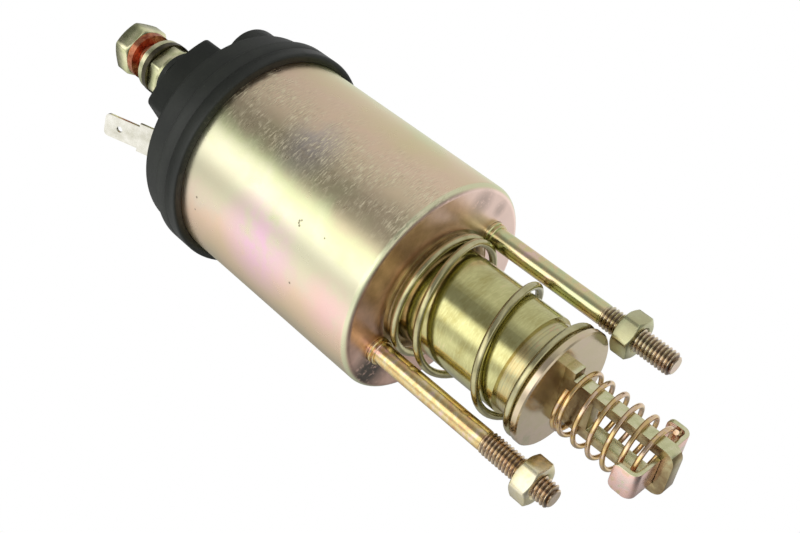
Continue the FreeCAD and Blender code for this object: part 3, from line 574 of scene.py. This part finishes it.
# %% Can wear
SCUFF_ANGLE = 1.40
SCUFF_WIDTH = (0.10, 0.50)
SCUFF_PATCH_MM = 6
SCUFF_PATCHES = (0.34, 0.54)
SCUFF_DULL = ((0.34, 0.28, 0.16), 0.35)
# Paler scratches: wear, and a painted glint.
SCUFF_PALE_AND_GLINT = ((1.0, 0.92, 0.68), 0.85)
DULL_SHIFT = 40.0
# Each smudge on the front face has its middle, reach and strength.
SMUDGES = [
    ((0.0, -24.5, -4.8), 9.0, 1.0), ((0.0, 19.7, 14.2), 5.0, 0.35), ((0.0, 24.0, 6.0), 3.0, 0.3),
    ((0.0, 15.5, 5.0), 2.5, 0.4),
]
SMUDGE_CORE = 0.3
SMUDGE_PATCH_MM = 1.6
SMUDGE_PATCHES = (0.31, 0.46)
SMUDGE = ((0.07, 0.075, 0.065), 0.9)
# Each pit has its X, its degrees round the axis and its reach.
PITS = [
    (-56.4, 143.6, 0.40), (-56.5, 151.0, 0.30), (-23.3, 119.8, 0.38), (-23.8, 118.9, 0.36),
    (-23.9, 117.9, 0.36), (-23.4, 117.1, 0.32), (-20.1, 147.0, 0.38), (-15.5, 117.0, 0.28),
]
PIT_CORE = 0.5
PIT = ((0.16, 0.13, 0.08), 0.8)
CAN_GRAIN = (0.88, 0.22)
CAN_ROUGHNESS = 0.24
ROUGHER = {"mottle": 0.10, "scratch": 0.34, "smudge": 0.2, "face": 0.02}
RAISED = {"grain": 0.3, "scratch": 1.2, "pit": -2.0}
CAN_BUMP = (0.16, 0.06)


def on_can(x, degrees):
    """A point on the can's side."""
    angle = math.radians(degrees)
    return (x, CAN_R * math.cos(angle), CAN_R * math.sin(angle))


def marks(graph, place, spots, core):
    """The strongest of several round marks, each full in its core and gone at its reach."""
    strongest = None
    for point, reach, strength in spots:
        mark = round_mark(graph, place, point, reach, core) * strength
        strongest = mark if strongest is None else strongest.math("MAXIMUM", mark)
    return strongest


def can_finish():
    """Yellow zinc as it lies on the can, with its scratches, smudges and pits."""
    material, graph, shader, place = surface("zinc_can", 1.0)
    x, radius, angle = polar(graph, place)
    front = x.step(*FACE_X)
    wander = drifting(graph, place, FILM_PATCH_MM, FILM_WAVES)
    fine = broken(graph, place, FILM_MOTTLE_MM)
    colour = can_films(graph, place, wander, fine, front)
    belt = 1 - (angle - SCUFF_ANGLE).math("ABSOLUTE").step(*SCUFF_WIDTH)
    handled = belt * broken(graph, place, SCUFF_PATCH_MM).step(*SCUFF_PATCHES) * (1 - front)
    lines = round_scratches(graph, place, 0.0) * handled
    dull = round_scratches(graph, place, DULL_SHIFT) * handled
    colour = stained(graph, colour, dull, SCUFF_DULL)
    # The scratches are paler as wear and as a painted glint.
    colour = stained(graph, colour, lines, SCUFF_PALE_AND_GLINT)
    grime = noise(graph, place, SMUDGE_PATCH_MM, 3.0, 0.7).step(*SMUDGE_PATCHES)
    smear = marks(graph, place, SMUDGES, SMUDGE_CORE) * grime * front
    colour = stained(graph, colour, smear, SMUDGE)
    holes = [(on_can(pit_x, degrees), reach, 1.0) for pit_x, degrees, reach in PITS]
    pit = marks(graph, place, holes, PIT_CORE)
    colour, speckle = speckled(graph, place, stained(graph, colour, pit, PIT), *CAN_GRAIN)
    rougher = fine * ROUGHER["mottle"] + lines * ROUGHER["scratch"]
    rougher = rougher + smear * ROUGHER["smudge"] + front * ROUGHER["face"]
    graph.feed(shader.inputs["Base Color"], colour)
    graph.feed(shader.inputs["Roughness"], rougher + CAN_ROUGHNESS)
    height = speckle * RAISED["grain"] + lines * RAISED["scratch"] + pit * RAISED["pit"]
    bump(graph, shader, height, *CAN_BUMP)
    return material


zinc["can"] = can_finish()
print("smudges:", len(SMUDGES), "pits:", len(PITS))

# %% [markdown]
# ## The plunger
# The sliding core is smooth and olive green. In front it has a shoulder, then a neck that was turned last
# and kept its lathe rings, so it looks brassy. Both are one solid, and the finish changes at the
# shoulder.

# %% Plunger finish
SHOULDER_X = (31.1, 31.3)
RING_PITCH_MM = 0.45
RING_RANGE = (0.25, 0.75)
RING_LENGTH = 0.2
RING_DARKEST = 0.68
RING_DEPTH = 0.5
PLUNGER_WANDER_MM = 10
PLUNGER_MOTTLE_MM = 3
WANDER_SHARE = 0.45
MOTTLE_SHARE = 0.35
SCUFF_SHARE = 0.2
PLUNGER_ROUGHNESS = 0.12
MOTTLE_ROUGHER = 0.10
NECK_ROUGHER = 0.06
PLUNGER_GRAIN_HEIGHT = 0.25
PLUNGER_BUMP = 0.18


def plunger_finish():
    """Olive zinc behind the shoulder and turned, brassy zinc on the neck."""
    material, graph, shader, place = surface("zinc_plunger", 1.0)
    x, radius, angle = polar(graph, place)
    neck = x.step(*SHOULDER_X)
    wander = drifting(graph, place, PLUNGER_WANDER_MM)
    fine = broken(graph, place, PLUNGER_MOTTLE_MM)
    scuffs = round_scratches(graph, place, 0.0)
    film = wander.step(*MIDDLE) * WANDER_SHARE + fine.step(*MIDDLE) * MOTTLE_SHARE + scuffs * SCUFF_SHARE
    colour = graph.mix(neck, graph.ramp(film, FILMS["plunger"]), graph.ramp(film, FILMS["neck"]))
    rings = noise(graph, graph.vector(x / RING_PITCH_MM, 0.0, angle * RING_LENGTH), 1.0, 3.0, 0.7)
    shade = (rings.step(*RING_RANGE) * RING_DEPTH + RING_DARKEST) * neck + (1 - neck)
    graph.feed(shader.inputs["Base Color"], shaded(graph, colour, shade))
    rougher = fine * MOTTLE_ROUGHER + neck * NECK_ROUGHER
    graph.feed(shader.inputs["Roughness"], rougher + PLUNGER_ROUGHNESS)
    speckle = noise(graph, place, SPECKLE_MM, 2.0, 0.7)
    bump(graph, shader, speckle * PLUNGER_GRAIN_HEIGHT + rings * neck, PLUNGER_BUMP)
    return material


zinc["plunger"] = plunger_finish()
print("neck rings every", RING_PITCH_MM, "mm")

# %% [markdown]
# ## Moulding, copper, tin and the hidden pieces
# The cap is a matt black moulding whose faces still catch some grey light, with a fine grain and a little
# pale dust. The terminal thread and its spring washer are bare copper, darker where they are tarnished.
# The spade is tinned. Pieces inside the can get plain working finishes, each with its own grain. The guide
# tube's brass is darkened as painted shade.

# %% Moulding and windings
MOULD_TONES = ((0.006, 0.008, 0.005), (0.015, 0.018, 0.012))
MOULD_PATCH_MM = 9
DUST = ((0.16, 0.17, 0.14), 0.7)
DUST_MM = 0.625
DUST_RANGE = (0.66, 0.74)
MOULD_GRAIN_MM = 1 / 3
MOULD_ROUGHNESS = 0.40
MOULD_ROUGHER = {"grain": 0.25, "dust": 0.2}
MOULD_BUMP = 0.3
WIRE_PITCH_MM = 0.9
WIRE_TONES = ((0.30, 0.09, 0.04), (0.62, 0.26, 0.12))
WIRE_PATCH_MM = 6
WIRE_PATCH_SHARE = 0.4
WIRE_ROUGHNESS = 0.3
WIRE_BUMP = (0.6, 0.2)


def moulding():
    """Matt black with a fine grain and a little pale dust."""
    material, graph, shader, place = surface("black_moulding", 0.0)
    colour = graph.mix(broken(graph, place, MOULD_PATCH_MM).step(*MIDDLE), *MOULD_TONES)
    dust = noise(graph, place, DUST_MM, 4.0, 0.8).step(*DUST_RANGE)
    grain = noise(graph, place, MOULD_GRAIN_MM, 2.0, 0.6)
    graph.feed(shader.inputs["Base Color"], stained(graph, colour, dust, DUST))
    rougher = grain * MOULD_ROUGHER["grain"] + dust * MOULD_ROUGHER["dust"]
    graph.feed(shader.inputs["Roughness"], rougher + MOULD_ROUGHNESS)
    bump(graph, shader, grain, MOULD_BUMP)
    return material


def wound_wire():
    """Enamelled wire wound side by side: ridges along the axis, darker in the grooves as painted shade."""
    material, graph, shader, place = surface("enamelled_winding", 0.7)
    ridge = (graph.parts(place)[0] * (FULL_TURN / WIRE_PITCH_MM)).math("SINE") * 0.5 + 0.5
    # The colour follows the ridges, darker in the grooves between turns: painted shade, mixed with random
    # patches.
    tone = noise(graph, place, WIRE_PATCH_MM) * WIRE_PATCH_SHARE + ridge * (1 - WIRE_PATCH_SHARE)
    graph.feed(shader.inputs["Base Color"], graph.mix(tone.clamp(), *WIRE_TONES))
    graph.feed(shader.inputs["Roughness"], WIRE_ROUGHNESS)
    bump(graph, shader, ridge, *WIRE_BUMP)
    return material


other = {"black_moulding": moulding(), "winding": wound_wire()}
print("moulding and winding ready")

# %% Plain finishes
GRAIN_MM = 0.25
GRAIN_BUMP = 0.15
PLAIN_ROUGHNESS_SPREAD = 0.2
# Each finish has its dark tone, light tone, patch size in mm, roughness and metallic.
PLAIN = {
    "bare_copper": ((0.30, 0.06, 0.03), (0.82, 0.34, 0.18), 1.6, 0.30, 1.0),
    "dark_washer": ((0.05, 0.045, 0.03), (0.16, 0.14, 0.09), 3, 0.35, 1.0),
    "tinned_brass": ((0.62, 0.60, 0.50), (0.86, 0.84, 0.76), 3, 0.28, 1.0),
    "dark_steel": ((0.08, 0.075, 0.06), (0.16, 0.15, 0.12), 4, 0.4, 1.0),
    "core_iron": ((0.34, 0.33, 0.30), (0.48, 0.46, 0.41), 6, 0.4, 1.0),
    # The guide tube's sleeve is a darkened brass: painted shade for the dark gap round the plunger.
    "sleeve_brass_shaded": ((0.20, 0.14, 0.07), (0.44, 0.32, 0.16), 4, 0.30, 1.0),
    "bobbin_plastic": ((0.50, 0.42, 0.28), (0.62, 0.54, 0.38), 8, 0.5, 0.0),
    "insulating_fibre": ((0.28, 0.10, 0.05), (0.42, 0.17, 0.09), 3, 0.6, 0.0),
    "gasket_rubber": ((0.03, 0.03, 0.03), (0.06, 0.06, 0.055), 3, 0.7, 0.0),
}


def plain(name):
    """Two tones of one material, with a fine grain."""
    dark, light, patch_mm, roughness, metallic = PLAIN[name]
    material, graph, shader, place = surface(name, metallic)
    grain = noise(graph, place, GRAIN_MM, 2.0, 0.6)
    patches = broken(graph, place, patch_mm).step(*MIDDLE)
    graph.feed(shader.inputs["Base Color"], graph.mix(patches, dark, light))
    spread = grain * PLAIN_ROUGHNESS_SPREAD
    graph.feed(shader.inputs["Roughness"], spread + (roughness - PLAIN_ROUGHNESS_SPREAD / 2))
    bump(graph, shader, grain, GRAIN_BUMP)
    return material


other.update((name, plain(name)) for name in PLAIN)
print("other finishes:", len(other))

# %% [markdown]
# ## Carried-over pieces
# A CAD solid whose shape is already right is kept as it is, and only its material slots are filled. The
# two terminals carry the same stack of washers, so those are filled in a loop.

# %% Materials on CAD pieces
CARRIED = {
    "housing_can": zinc["can"], "plunger": zinc["plunger"], "retainer_disc": zinc["disc"],
    # The guide tube's darkened brass is painted shade.
    "guide_tube": other["sleeve_brass_shaded"], "bobbin": other["bobbin_plastic"], "fixed_core": other["core_iron"],
    "pull_in_winding": other["winding"], "hold_in_winding": other["winding"],
    "contact_rod": other["core_iron"], "contact_bridge": other["bare_copper"],
    "contact_spring": zinc["wire_pale"], "rod_retainer": other["dark_steel"],
    "front_insulator": other["insulating_fibre"], "rear_insulator": other["insulating_fibre"],
    "cap_gasket": other["gasket_rubber"], "cap_screws": other["dark_steel"],
    "spade_terminal": other["tinned_brass"], "spade_lead": other["bare_copper"],
    "motor_lead": other["bare_copper"],
}
WASHERS = {
    "seat_washer": zinc["terminal"], "dark_washer": other["dark_washer"], "flat_washer": zinc["terminal"],
    "spring_washer": other["bare_copper"],
}
# Each terminal has its place across the axis, as Y and Z in mm. The motor terminal is turned half round.
TERMINALS = {"battery": (-3.0, 20.0), "motor": (3.0, -20.0)}


def paint(node, material):
    """Fills every material slot of a CAD piece."""
    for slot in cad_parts[node].material_slots:
        slot.material = material


for node, material in CARRIED.items():
    paint(node, material)
for terminal in TERMINALS:
    for washer, material in WASHERS.items():
        paint(terminal + "_" + washer, material)
print("CAD pieces with a new finish:", len(CARRIED) + len(TERMINALS) * len(WASHERS))

# %% [markdown]
# ## New pieces
# Every new piece is a plain mesh that already lies where it belongs. It rides on a body of the mechanism
# and it takes the place of one CAD solid. A few helpers do that for all of them.

# %% Placing a new piece
def new_piece(name, mesh):
    """An object at the origin for a finished mesh."""
    piece = bpy.data.objects.new(name, mesh)
    bpy.context.scene.collection.objects.link(piece)
    return piece


def smooth(piece, degrees):
    """Smooth shading, with edges sharper than the angle kept."""
    piece.data.shade_smooth()
    piece.data.set_sharp_from_angle(angle=math.radians(degrees))


def take_place(piece, body, node):
    """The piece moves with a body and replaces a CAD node."""
    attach(piece, body)
    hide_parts(node)
    print(piece.name, "faces:", len(piece.data.polygons))


print("materials to choose from:", len(zinc) + len(other))

# %% [markdown]
# ## Springs
# A compression spring is a round wire whose turns are close at both ends and open in the middle. That is
# a rule, so a small Geometry Nodes tree makes all the springs: it bends a resampled line round the axis
# and gives it a round section. The same tree serves every spring, and only its inputs differ.

# %% Spring tree
TURN_STEPS = 56
WIRE_SIDES = 20
TURN_INPUTS = ["Closed start", "Free turns", "Closed end"]
LENGTH_INPUTS = ["X start", "X free start", "X free end", "X end", "R start", "R end", "Wire radius"]
SPRING_INPUTS = [*TURN_INPUTS, *LENGTH_INPUTS, "Start angle"]


def wire_point(graph, size, turn):
    """Where the wire is after some turns: closed, open, then closed again."""
    first = (turn / size["Closed start"]).clamp()
    middle = ((turn - size["Closed start"]) / size["Free turns"]).clamp()
    last = ((turn - size["Closed start"] - size["Free turns"]) / size["Closed end"]).clamp()
    x = (
        size["X start"] + first * (size["X free start"] - size["X start"])
        + middle * (size["X free end"] - size["X free start"]) + last * (size["X end"] - size["X free end"])
    )
    radius = size["R start"] + middle * (size["R end"] - size["R start"])
    angle = size["Start angle"] + turn * FULL_TURN
    return graph.vector(x, radius * angle.math("COSINE"), radius * angle.math("SINE"))


def spring_tree():
    """The node tree that makes one spring."""
    tree = bpy.data.node_groups.new("spring", "GeometryNodeTree")
    for name in SPRING_INPUTS:
        tree.interface.new_socket(name, in_out="INPUT", socket_type="NodeSocketFloat")
    tree.interface.new_socket("Material", in_out="INPUT", socket_type="NodeSocketMaterial")
    tree.interface.new_socket("Geometry", in_out="OUTPUT", socket_type="NodeSocketGeometry")
    graph = Graph(tree)
    given = graph.node("NodeGroupInput").outputs
    size = {name: Value(graph, given[name]) for name in SPRING_INPUTS}
    turns = size["Closed start"] + size["Free turns"] + size["Closed end"]
    count = turns * TURN_STEPS
    line = graph.node("GeometryNodeCurvePrimitiveLine").outputs[0]
    dense = graph.node("GeometryNodeResampleCurve", inputs={"Curve": line, "Count": count + 1}).outputs[0]
    turn = Value(graph, graph.node("GeometryNodeInputIndex").outputs[0]) / count * turns
    place = {"Geometry": dense, "Position": wire_point(graph, size, turn)}
    bent = graph.node("GeometryNodeSetPosition", inputs=place).outputs[0]
    round_wire = {"Resolution": WIRE_SIDES, "Radius": size["Wire radius"]}
    section = graph.node("GeometryNodeCurvePrimitiveCircle", inputs=round_wire).outputs[0]
    sweep = {"Curve": bent, "Profile Curve": section, "Fill Caps": True}
    wire = graph.node("GeometryNodeCurveToMesh", inputs=sweep).outputs[0]
    real = graph.node("GeometryNodeRealizeInstances", inputs={0: wire}).outputs[0]
    coat = {"Geometry": real, "Material": given["Material"]}
    graph.node("NodeGroupOutput", inputs={0: graph.node("GeometryNodeSetMaterial", inputs=coat).outputs[0]})
    return tree


def plain_mesh(name, tree, values):
    """Runs a tree on an empty mesh and keeps the result as a plain mesh object at the origin."""
    holder = new_piece(name + "_holder", bpy.data.meshes.new(name + "_holder"))
    modifier = holder.modifiers.new("tree", "NODES")
    modifier.node_group = tree
    inputs = [item for item in tree.interface.items_tree if item.in_out == "INPUT"]
    identifiers = {item.name: item.identifier for item in inputs}
    for key, value in values.items():
        modifier[identifiers[key]] = value
    evaluated = holder.evaluated_get(bpy.context.evaluated_depsgraph_get())
    mesh = bpy.data.meshes.new_from_object(evaluated)
    mesh.name = name
    holder.modifiers.remove(modifier)
    bpy.data.objects.remove(holder)
    return new_piece(name, mesh)


tree_of_springs = spring_tree()
print("spring inputs:", len(SPRING_INPUTS))

# %% The three springs
# Turns are closed, free, closed. X is where those stretches begin and end, in mm. Each spring also
# lists a joint, an anchor X in mm and a share to keep.
SPRINGS = {
    "return_spring": {
        "turns": (1.05, 1.85, 0.9), "x": (1.85, 4.0025, 36.6275, 37.55), "radii": (16.0, 14.4), "wire": 1.0,
        "start_degrees": 20.0, "material": zinc["wire_pale"], "body": "housing", "joint": "plunger_slide",
        "anchor": 0.8, "keep": 0.656,
    },
    "link_spring": {
        "turns": (1.0, 4.8, 1.0), "x": (44.05, 45.3, 65.0, 66.25), "radii": (7.75, 7.75), "wire": 0.6,
        "start_degrees": 100.0, "material": zinc["wire_gold"], "body": "plunger", "joint": "clip_slide",
        "anchor": 43.4, "keep": 0.66,
    },
    "opening_spring": {
        "turns": (0.5, 2.0, 0.5), "x": (-74.05, -73.9, -70.3, -70.15), "radii": (6.0, 3.0), "wire": 0.4,
        "start_degrees": 0.0, "material": zinc["wire_pale"], "body": "housing", "joint": "contact_slide",
        "anchor": -74.5, "keep": 0.36,
    },
}
WIRE_SMOOTH = 50


def dress_spring(name, rule):
    """One spring in place of its CAD solid."""
    lengths = (*rule["x"], *rule["radii"], rule["wire"])
    values = dict(zip(TURN_INPUTS, rule["turns"]))
    values.update(zip(LENGTH_INPUTS, (length * MM for length in lengths)))
    values["Start angle"] = math.radians(rule["start_degrees"])
    values["Material"] = rule["material"]
    piece = plain_mesh("wire_" + name, tree_of_springs, values)
    smooth(piece, WIRE_SMOOTH)
    take_place(piece, rule["body"], name)
    rule["anchor"] * MM
    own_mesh(piece)


for name, rule in SPRINGS.items():
    dress_spring(name, rule)

# %% [markdown]
# ## Threaded pieces
# Studs and terminal bolts are turned shapes with a real thread cut in. One mesh does both: rings of
# points stacked along the axis, where the radius follows the turned outline and, along the thread, a
# ridge that climbs one pitch in each turn. A ridge wound on separately would leave a seam at its foot.

# %% Meshes from rings
def ring_faces(rings, sides, closed):
    """Faces between neighbouring rings of points, and from the last ring to the first if closed."""
    faces = []
    for ring in range(rings if closed else rings - 1):
        near = ring * sides
        far = (ring + 1) % rings * sides
        for i in range(sides):
            j = (i + 1) % sides
            faces.append((near + i, near + j, far + j, far + i))
    return faces


def solid_piece(name, points, faces, material):
    """A piece from points in mm, with its normals pointing out."""
    mesh = bpy.data.meshes.new(name)
    mesh.from_pydata([[c * MM for c in point] for point in points], [], faces)
    work = bmesh.new()
    work.from_mesh(mesh)
    bmesh.ops.recalc_face_normals(work, faces=work.faces)
    work.to_mesh(mesh)
    work.free()
    mesh.materials.append(material)
    return new_piece(name, mesh)


print("faces between two rings of four points:", len(ring_faces(2, 4, closed=False)))

# %% Threads
ROD_SIDES = 64
PITCH_STEPS = 10
RIDGE_GAIN = 1.25
RIDGE_BASE = 0.1


def outline_radius(table, x, way):
    """The outline's radius at x, straight between its points."""
    for (xa, ra), (xb, rb) in zip(table, table[1:]):
        if xa * way <= x * way <= xb * way and xa != xb:
            return ra + (rb - ra) * (x - xa) / (xb - xa)
    return table[-1][1]


def thread_depth(x, angle, thread):
    """How deep the thread is cut at a place: a rounded V that fades in over one pitch at its start."""
    start, end, pitch, depth = thread
    if (x - start) * (end - start) < 0 or (end - x) * (end - start) < 0:
        return 0.0
    ridge = abs((x / pitch - angle / FULL_TURN) % 1.0 * 2 - 1)
    fade = min(1.0, abs(x - start) / pitch)
    return depth * fade * min(1.0, max(0.0, ridge * RIDGE_GAIN - RIDGE_BASE))


def threaded_rod(name, outline, thread, centre, material):
    """A turned rod along X. thread is (x from, x to, pitch, depth); the outline is (x, radius) pairs."""
    start, end, pitch, _ = thread
    way = math.copysign(1, end - start)
    count = math.ceil(abs(end - start) / pitch * PITCH_STEPS)
    fine = [start + (end - start) * k / count for k in range(count + 1)]
    stations = outline + [(x, outline_radius(outline, x, way)) for x in fine]
    stations.sort(key=lambda station: station[0] * way)
    points = []
    for x, radius in stations:
        for i in range(ROD_SIDES):
            angle = FULL_TURN * i / ROD_SIDES
            reach = radius - thread_depth(x, angle, thread)
            points.append((x, centre[0] + reach * math.cos(angle), centre[1] + reach * math.sin(angle)))
    faces = ring_faces(len(stations), ROD_SIDES, closed=False)
    faces.append(tuple(reversed(range(ROD_SIDES))))
    faces.append(tuple(range(len(points) - ROD_SIDES, len(points))))
    return solid_piece(name, points, faces, material)


print("rings in one pitch:", PITCH_STEPS)

# %% Studs and terminal bolts
STUD_FOOT = [(-3.0, 2.7), (-0.3, 2.7), (-0.3, 3.2)]
STUD_COLLARS = [
    (-0.1, 3.4), (0.6, 3.4), (0.8, 3.2), (0.8, 3.0), (1.1, 3.0), (1.1, 3.15), (1.25, 3.3), (1.75, 3.3),
    (1.9, 3.15),
]
STUD_SHANK = [(1.9, 2.75), (2.2, 2.7), (35.6, 2.7), (36.25, 2.95), (54.9, 2.95), (55.6, 2.25), (55.8, 2.0)]
STUD_OUTLINE = STUD_FOOT + STUD_COLLARS + STUD_SHANK
STUD_THREAD = (35.2, 55.5, 1.0, 0.52)
STUD_SIDES = {"near": -STUD_Y, "far": STUD_Y}
BOLT_HEAD = [(-71.0, 4.4), (-71.3, 4.7), (-74.2, 4.7), (-74.5, 4.4)]
BOLT_SHANK = [(-74.5, 4.0), (-107.8, 4.0), (-108.6, 3.2)]
BOLT_OUTLINE = BOLT_HEAD + BOLT_SHANK
BOLT_THREAD = (-84.0, -108.4, 1.25, 0.62)
ROD_SMOOTH = 38

for side, stud_y in STUD_SIDES.items():
    stud = threaded_rod(side + "_stud", STUD_OUTLINE, STUD_THREAD, (stud_y, 0.0), zinc["stud_" + side])
    smooth(stud, ROD_SMOOTH)
    take_place(stud, "housing", side + "_mounting_stud")
for terminal, centre in TERMINALS.items():
    bolt = threaded_rod(terminal + "_bolt", BOLT_OUTLINE, BOLT_THREAD, centre, other["bare_copper"])
    smooth(bolt, ROD_SMOOTH)
    take_place(bolt, "housing", terminal + "_terminal_bolt")

# %% [markdown]
# ## Nuts
# A hexagon nut catches light on its flats, on the curved chamfer where the flats meet the end face, and
# on the narrow worn corners. The rings of this mesh put points exactly on the flats and on both sides of
# each corner, so that the flats stay flat and the corners are slightly broken.

# %% Nut shape
HEX_SIDES = 6
HEX_ANGLE = FULL_TURN / HEX_SIDES
FLAT_POINTS = 9
CORNER_BREAK = 0.035
CHAMFER_TAN = math.tan(math.radians(30))
CHAMFER_SHARE = 0.96
CHAMFER_BULGE = (0.01, 0.03)
EDGE_BULGE = 0.04
EDGE_MM = 0.12
BORE_CHAMFER_MM = 0.5


def nut_angles():
    """Angles round a hexagon whose first corner is at 0, with two points at each corner."""
    span = HEX_ANGLE - 2 * CORNER_BREAK
    steps = [CORNER_BREAK + span * i / (FLAT_POINTS - 1) for i in range(FLAT_POINTS)]
    return [k * HEX_ANGLE + step for k in range(HEX_SIDES) for step in steps]


def nut_profile(angle, across_flats, bore):
    """Half of the outline at one angle, from the bore out to the flat: (depth below the face, radius)."""
    flat = across_flats / 2 * CHAMFER_SHARE
    edge = across_flats / 2 / math.cos(angle % HEX_ANGLE - HEX_ANGLE / 2)
    drop = max(0.0, edge - flat) * CHAMFER_TAN
    return [
        (BORE_CHAMFER_MM, bore),
        (0.0, bore + BORE_CHAMFER_MM),
        (0.0, flat - EDGE_MM),
        (drop * 0.5 + CHAMFER_BULGE[0], (flat + edge) / 2 - CHAMFER_BULGE[1]),
        (drop + EDGE_BULGE, edge - EDGE_BULGE),
        (drop + EDGE_MM, edge),
    ]


def nut(name, x_rear, thickness, across_flats, bore, centre, turn, material):
    """A hexagon nut along X, closed through its bore. Its front half mirrors its rear half."""
    angles = nut_angles()
    profiles = [nut_profile(angle, across_flats, bore) for angle in angles]
    levels = range(len(profiles[0]))
    rings = [(x_rear, 1, level) for level in levels]
    rings += [(x_rear + thickness, -1, level) for level in reversed(levels)]
    points = []
    for face_x, inward, level in rings:
        for angle, profile in zip(angles, profiles):
            depth, radius = profile[level]
            y = centre[0] + radius * math.cos(angle + math.radians(turn))
            z = centre[1] + radius * math.sin(angle + math.radians(turn))
            points.append((face_x + inward * depth, y, z))
    return solid_piece(name, points, ring_faces(len(rings), len(angles), closed=True), material)


print("points round a nut:", len(nut_angles()))

# %% Six nuts
# Each nut has the X of its rear face, its thickness, its width across flats, its bore and its turn.
STUD_NUTS = {"near": (46.8, 4.8, 10.0, 2.9, 20.0), "far": (40.9, 4.8, 10.0, 2.9, 20.0)}
TERMINAL_NUTS = {"inner": (-92.0, 4.6, 13.0, 4.0, 54.0), "outer": (-106.9, 5.4, 13.0, 4.0, 6.0)}
NUT_SMOOTH = 32


def dress_nut(name, sizes, centre, material):
    """One nut in place of its CAD solid."""
    x_rear, thickness, across_flats, bore, turn = sizes
    piece = nut("hex_" + name, x_rear, thickness, across_flats, bore, centre, turn, material)
    smooth(piece, NUT_SMOOTH)
    take_place(piece, "housing", name)


for side, sizes in STUD_NUTS.items():
    dress_nut(side + "_stud_nut", sizes, (STUD_SIDES[side], 0.0), zinc["nut_" + side])
for terminal, centre in TERMINALS.items():
    for level, sizes in TERMINAL_NUTS.items():
        dress_nut(f"{terminal}_{level}_nut", sizes, centre, zinc["terminal"])

# %% [markdown]
# ## Link plate and clip
# The eye plate was stamped and the clip was bent from strip, so their edges are slightly rolled. A merged
# copy of each CAD mesh gets its sharp edges rounded, which keeps every size and adds the thin highlights.
# The narrow sides of the strip, which face up and down, get a paler film than its wide faces: a painted
# highlight.

# %% Rounded copies
MERGE_MM = 0.002
FLAT_DEGREES = 0.4
SHARP_DEGREES = 28
ROUND_MM = 0.16
NARROW_SIDE_Z = 0.6
LINK_SMOOTH = 40


def merged_copy(node):
    """A bmesh copy of a CAD piece with its loose triangles joined."""
    work = bmesh.new()
    work.from_mesh(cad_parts[node].data)
    bmesh.ops.remove_doubles(work, verts=work.verts, dist=MERGE_MM * MM)
    return work


def copied_piece(name, work, materials):
    """A piece from a finished bmesh copy."""
    mesh = bpy.data.meshes.new(name)
    work.to_mesh(mesh)
    work.free()
    mesh.materials.clear()
    for material in materials:
        mesh.materials.append(material)
    return new_piece(name, mesh)


def softened(name, node, material, body):
    """A CAD piece with its sharp edges rounded and a painted highlight on its narrow sides, in its place."""
    work = merged_copy(node)
    bmesh.ops.dissolve_limit(
        work, angle_limit=math.radians(FLAT_DEGREES), verts=work.verts, edges=work.edges,
        use_dissolve_boundaries=False)
    limit = math.radians(SHARP_DEGREES)
    sharp = [e for e in work.edges if len(e.link_faces) == 2 and e.calc_face_angle() > limit]
    bmesh.ops.bevel(
        work, geom=sharp, offset=ROUND_MM * MM, segments=2, profile=0.5, affect="EDGES", clamp_overlap=True)
    piece = copied_piece(name, work, [material, zinc["link_edge"]])
    # Faces that point up or down take the paler film: a painted highlight.
    for face in piece.data.polygons:
        face.material_index = int(abs(face.normal.z) > NARROW_SIDE_Z)
    smooth(piece, LINK_SMOOTH)
    take_place(piece, body, node)


softened("eye_plate", "link_plate", zinc["link"], "plunger")
softened("bent_clip", "spring_clip", zinc["clip"], "clip")

# %% [markdown]
# ## Cap with higher pads and towers
# In the photograph the terminal pads of the cap stand 1.6 mm higher than in the CAD, and the round screw
# towers beside them 1.8 mm higher. A merged copy of the cap is stretched there: the points of their tops
# move out and all others stay. The terminals and their mounts do not move. Sides are told apart by Z, so
# one rule serves both halves of the cap.

# %% Cap
PAD_LIFT_MM = 1.6
PAD_TOP_X = (-83.1, -82.15)
PAD_SIDE_Y = 8.5
TOWER_LIFT_MM = 1.8
TOWER_TOP_X = -79.3
TOWER_CENTRE = (15.2, 13.7)
TOWER_REACH = 8.6
TOWER_SIDE_Y = 8.3
CAP_SMOOTH = 18


def cap_lift(x, y, z):
    """How far a point of the cap moves out, in mm."""
    half = math.copysign(1, z)
    y, z = y * half, z * half
    if PAD_TOP_X[0] < x < PAD_TOP_X[1] and y < PAD_SIDE_Y:
        return PAD_LIFT_MM
    from_tower = math.hypot(y - TOWER_CENTRE[0], z - TOWER_CENTRE[1])
    if x < TOWER_TOP_X and from_tower < TOWER_REACH and y > TOWER_SIDE_Y:
        return TOWER_LIFT_MM
    return 0.0


def raised_cap():
    """The cap with its pad and tower tops moved outward."""
    work = merged_copy("terminal_cap")
    moved = 0
    for vert in work.verts:
        lift = cap_lift(*(vert.co / MM))
        vert.co.x -= lift * MM
        moved += lift > 0
    piece = copied_piece("moulded_cap", work, [other["black_moulding"]])
    smooth(piece, CAP_SMOOTH)
    take_place(piece, "housing", "terminal_cap")
    print("cap points moved:", moved)


raised_cap()
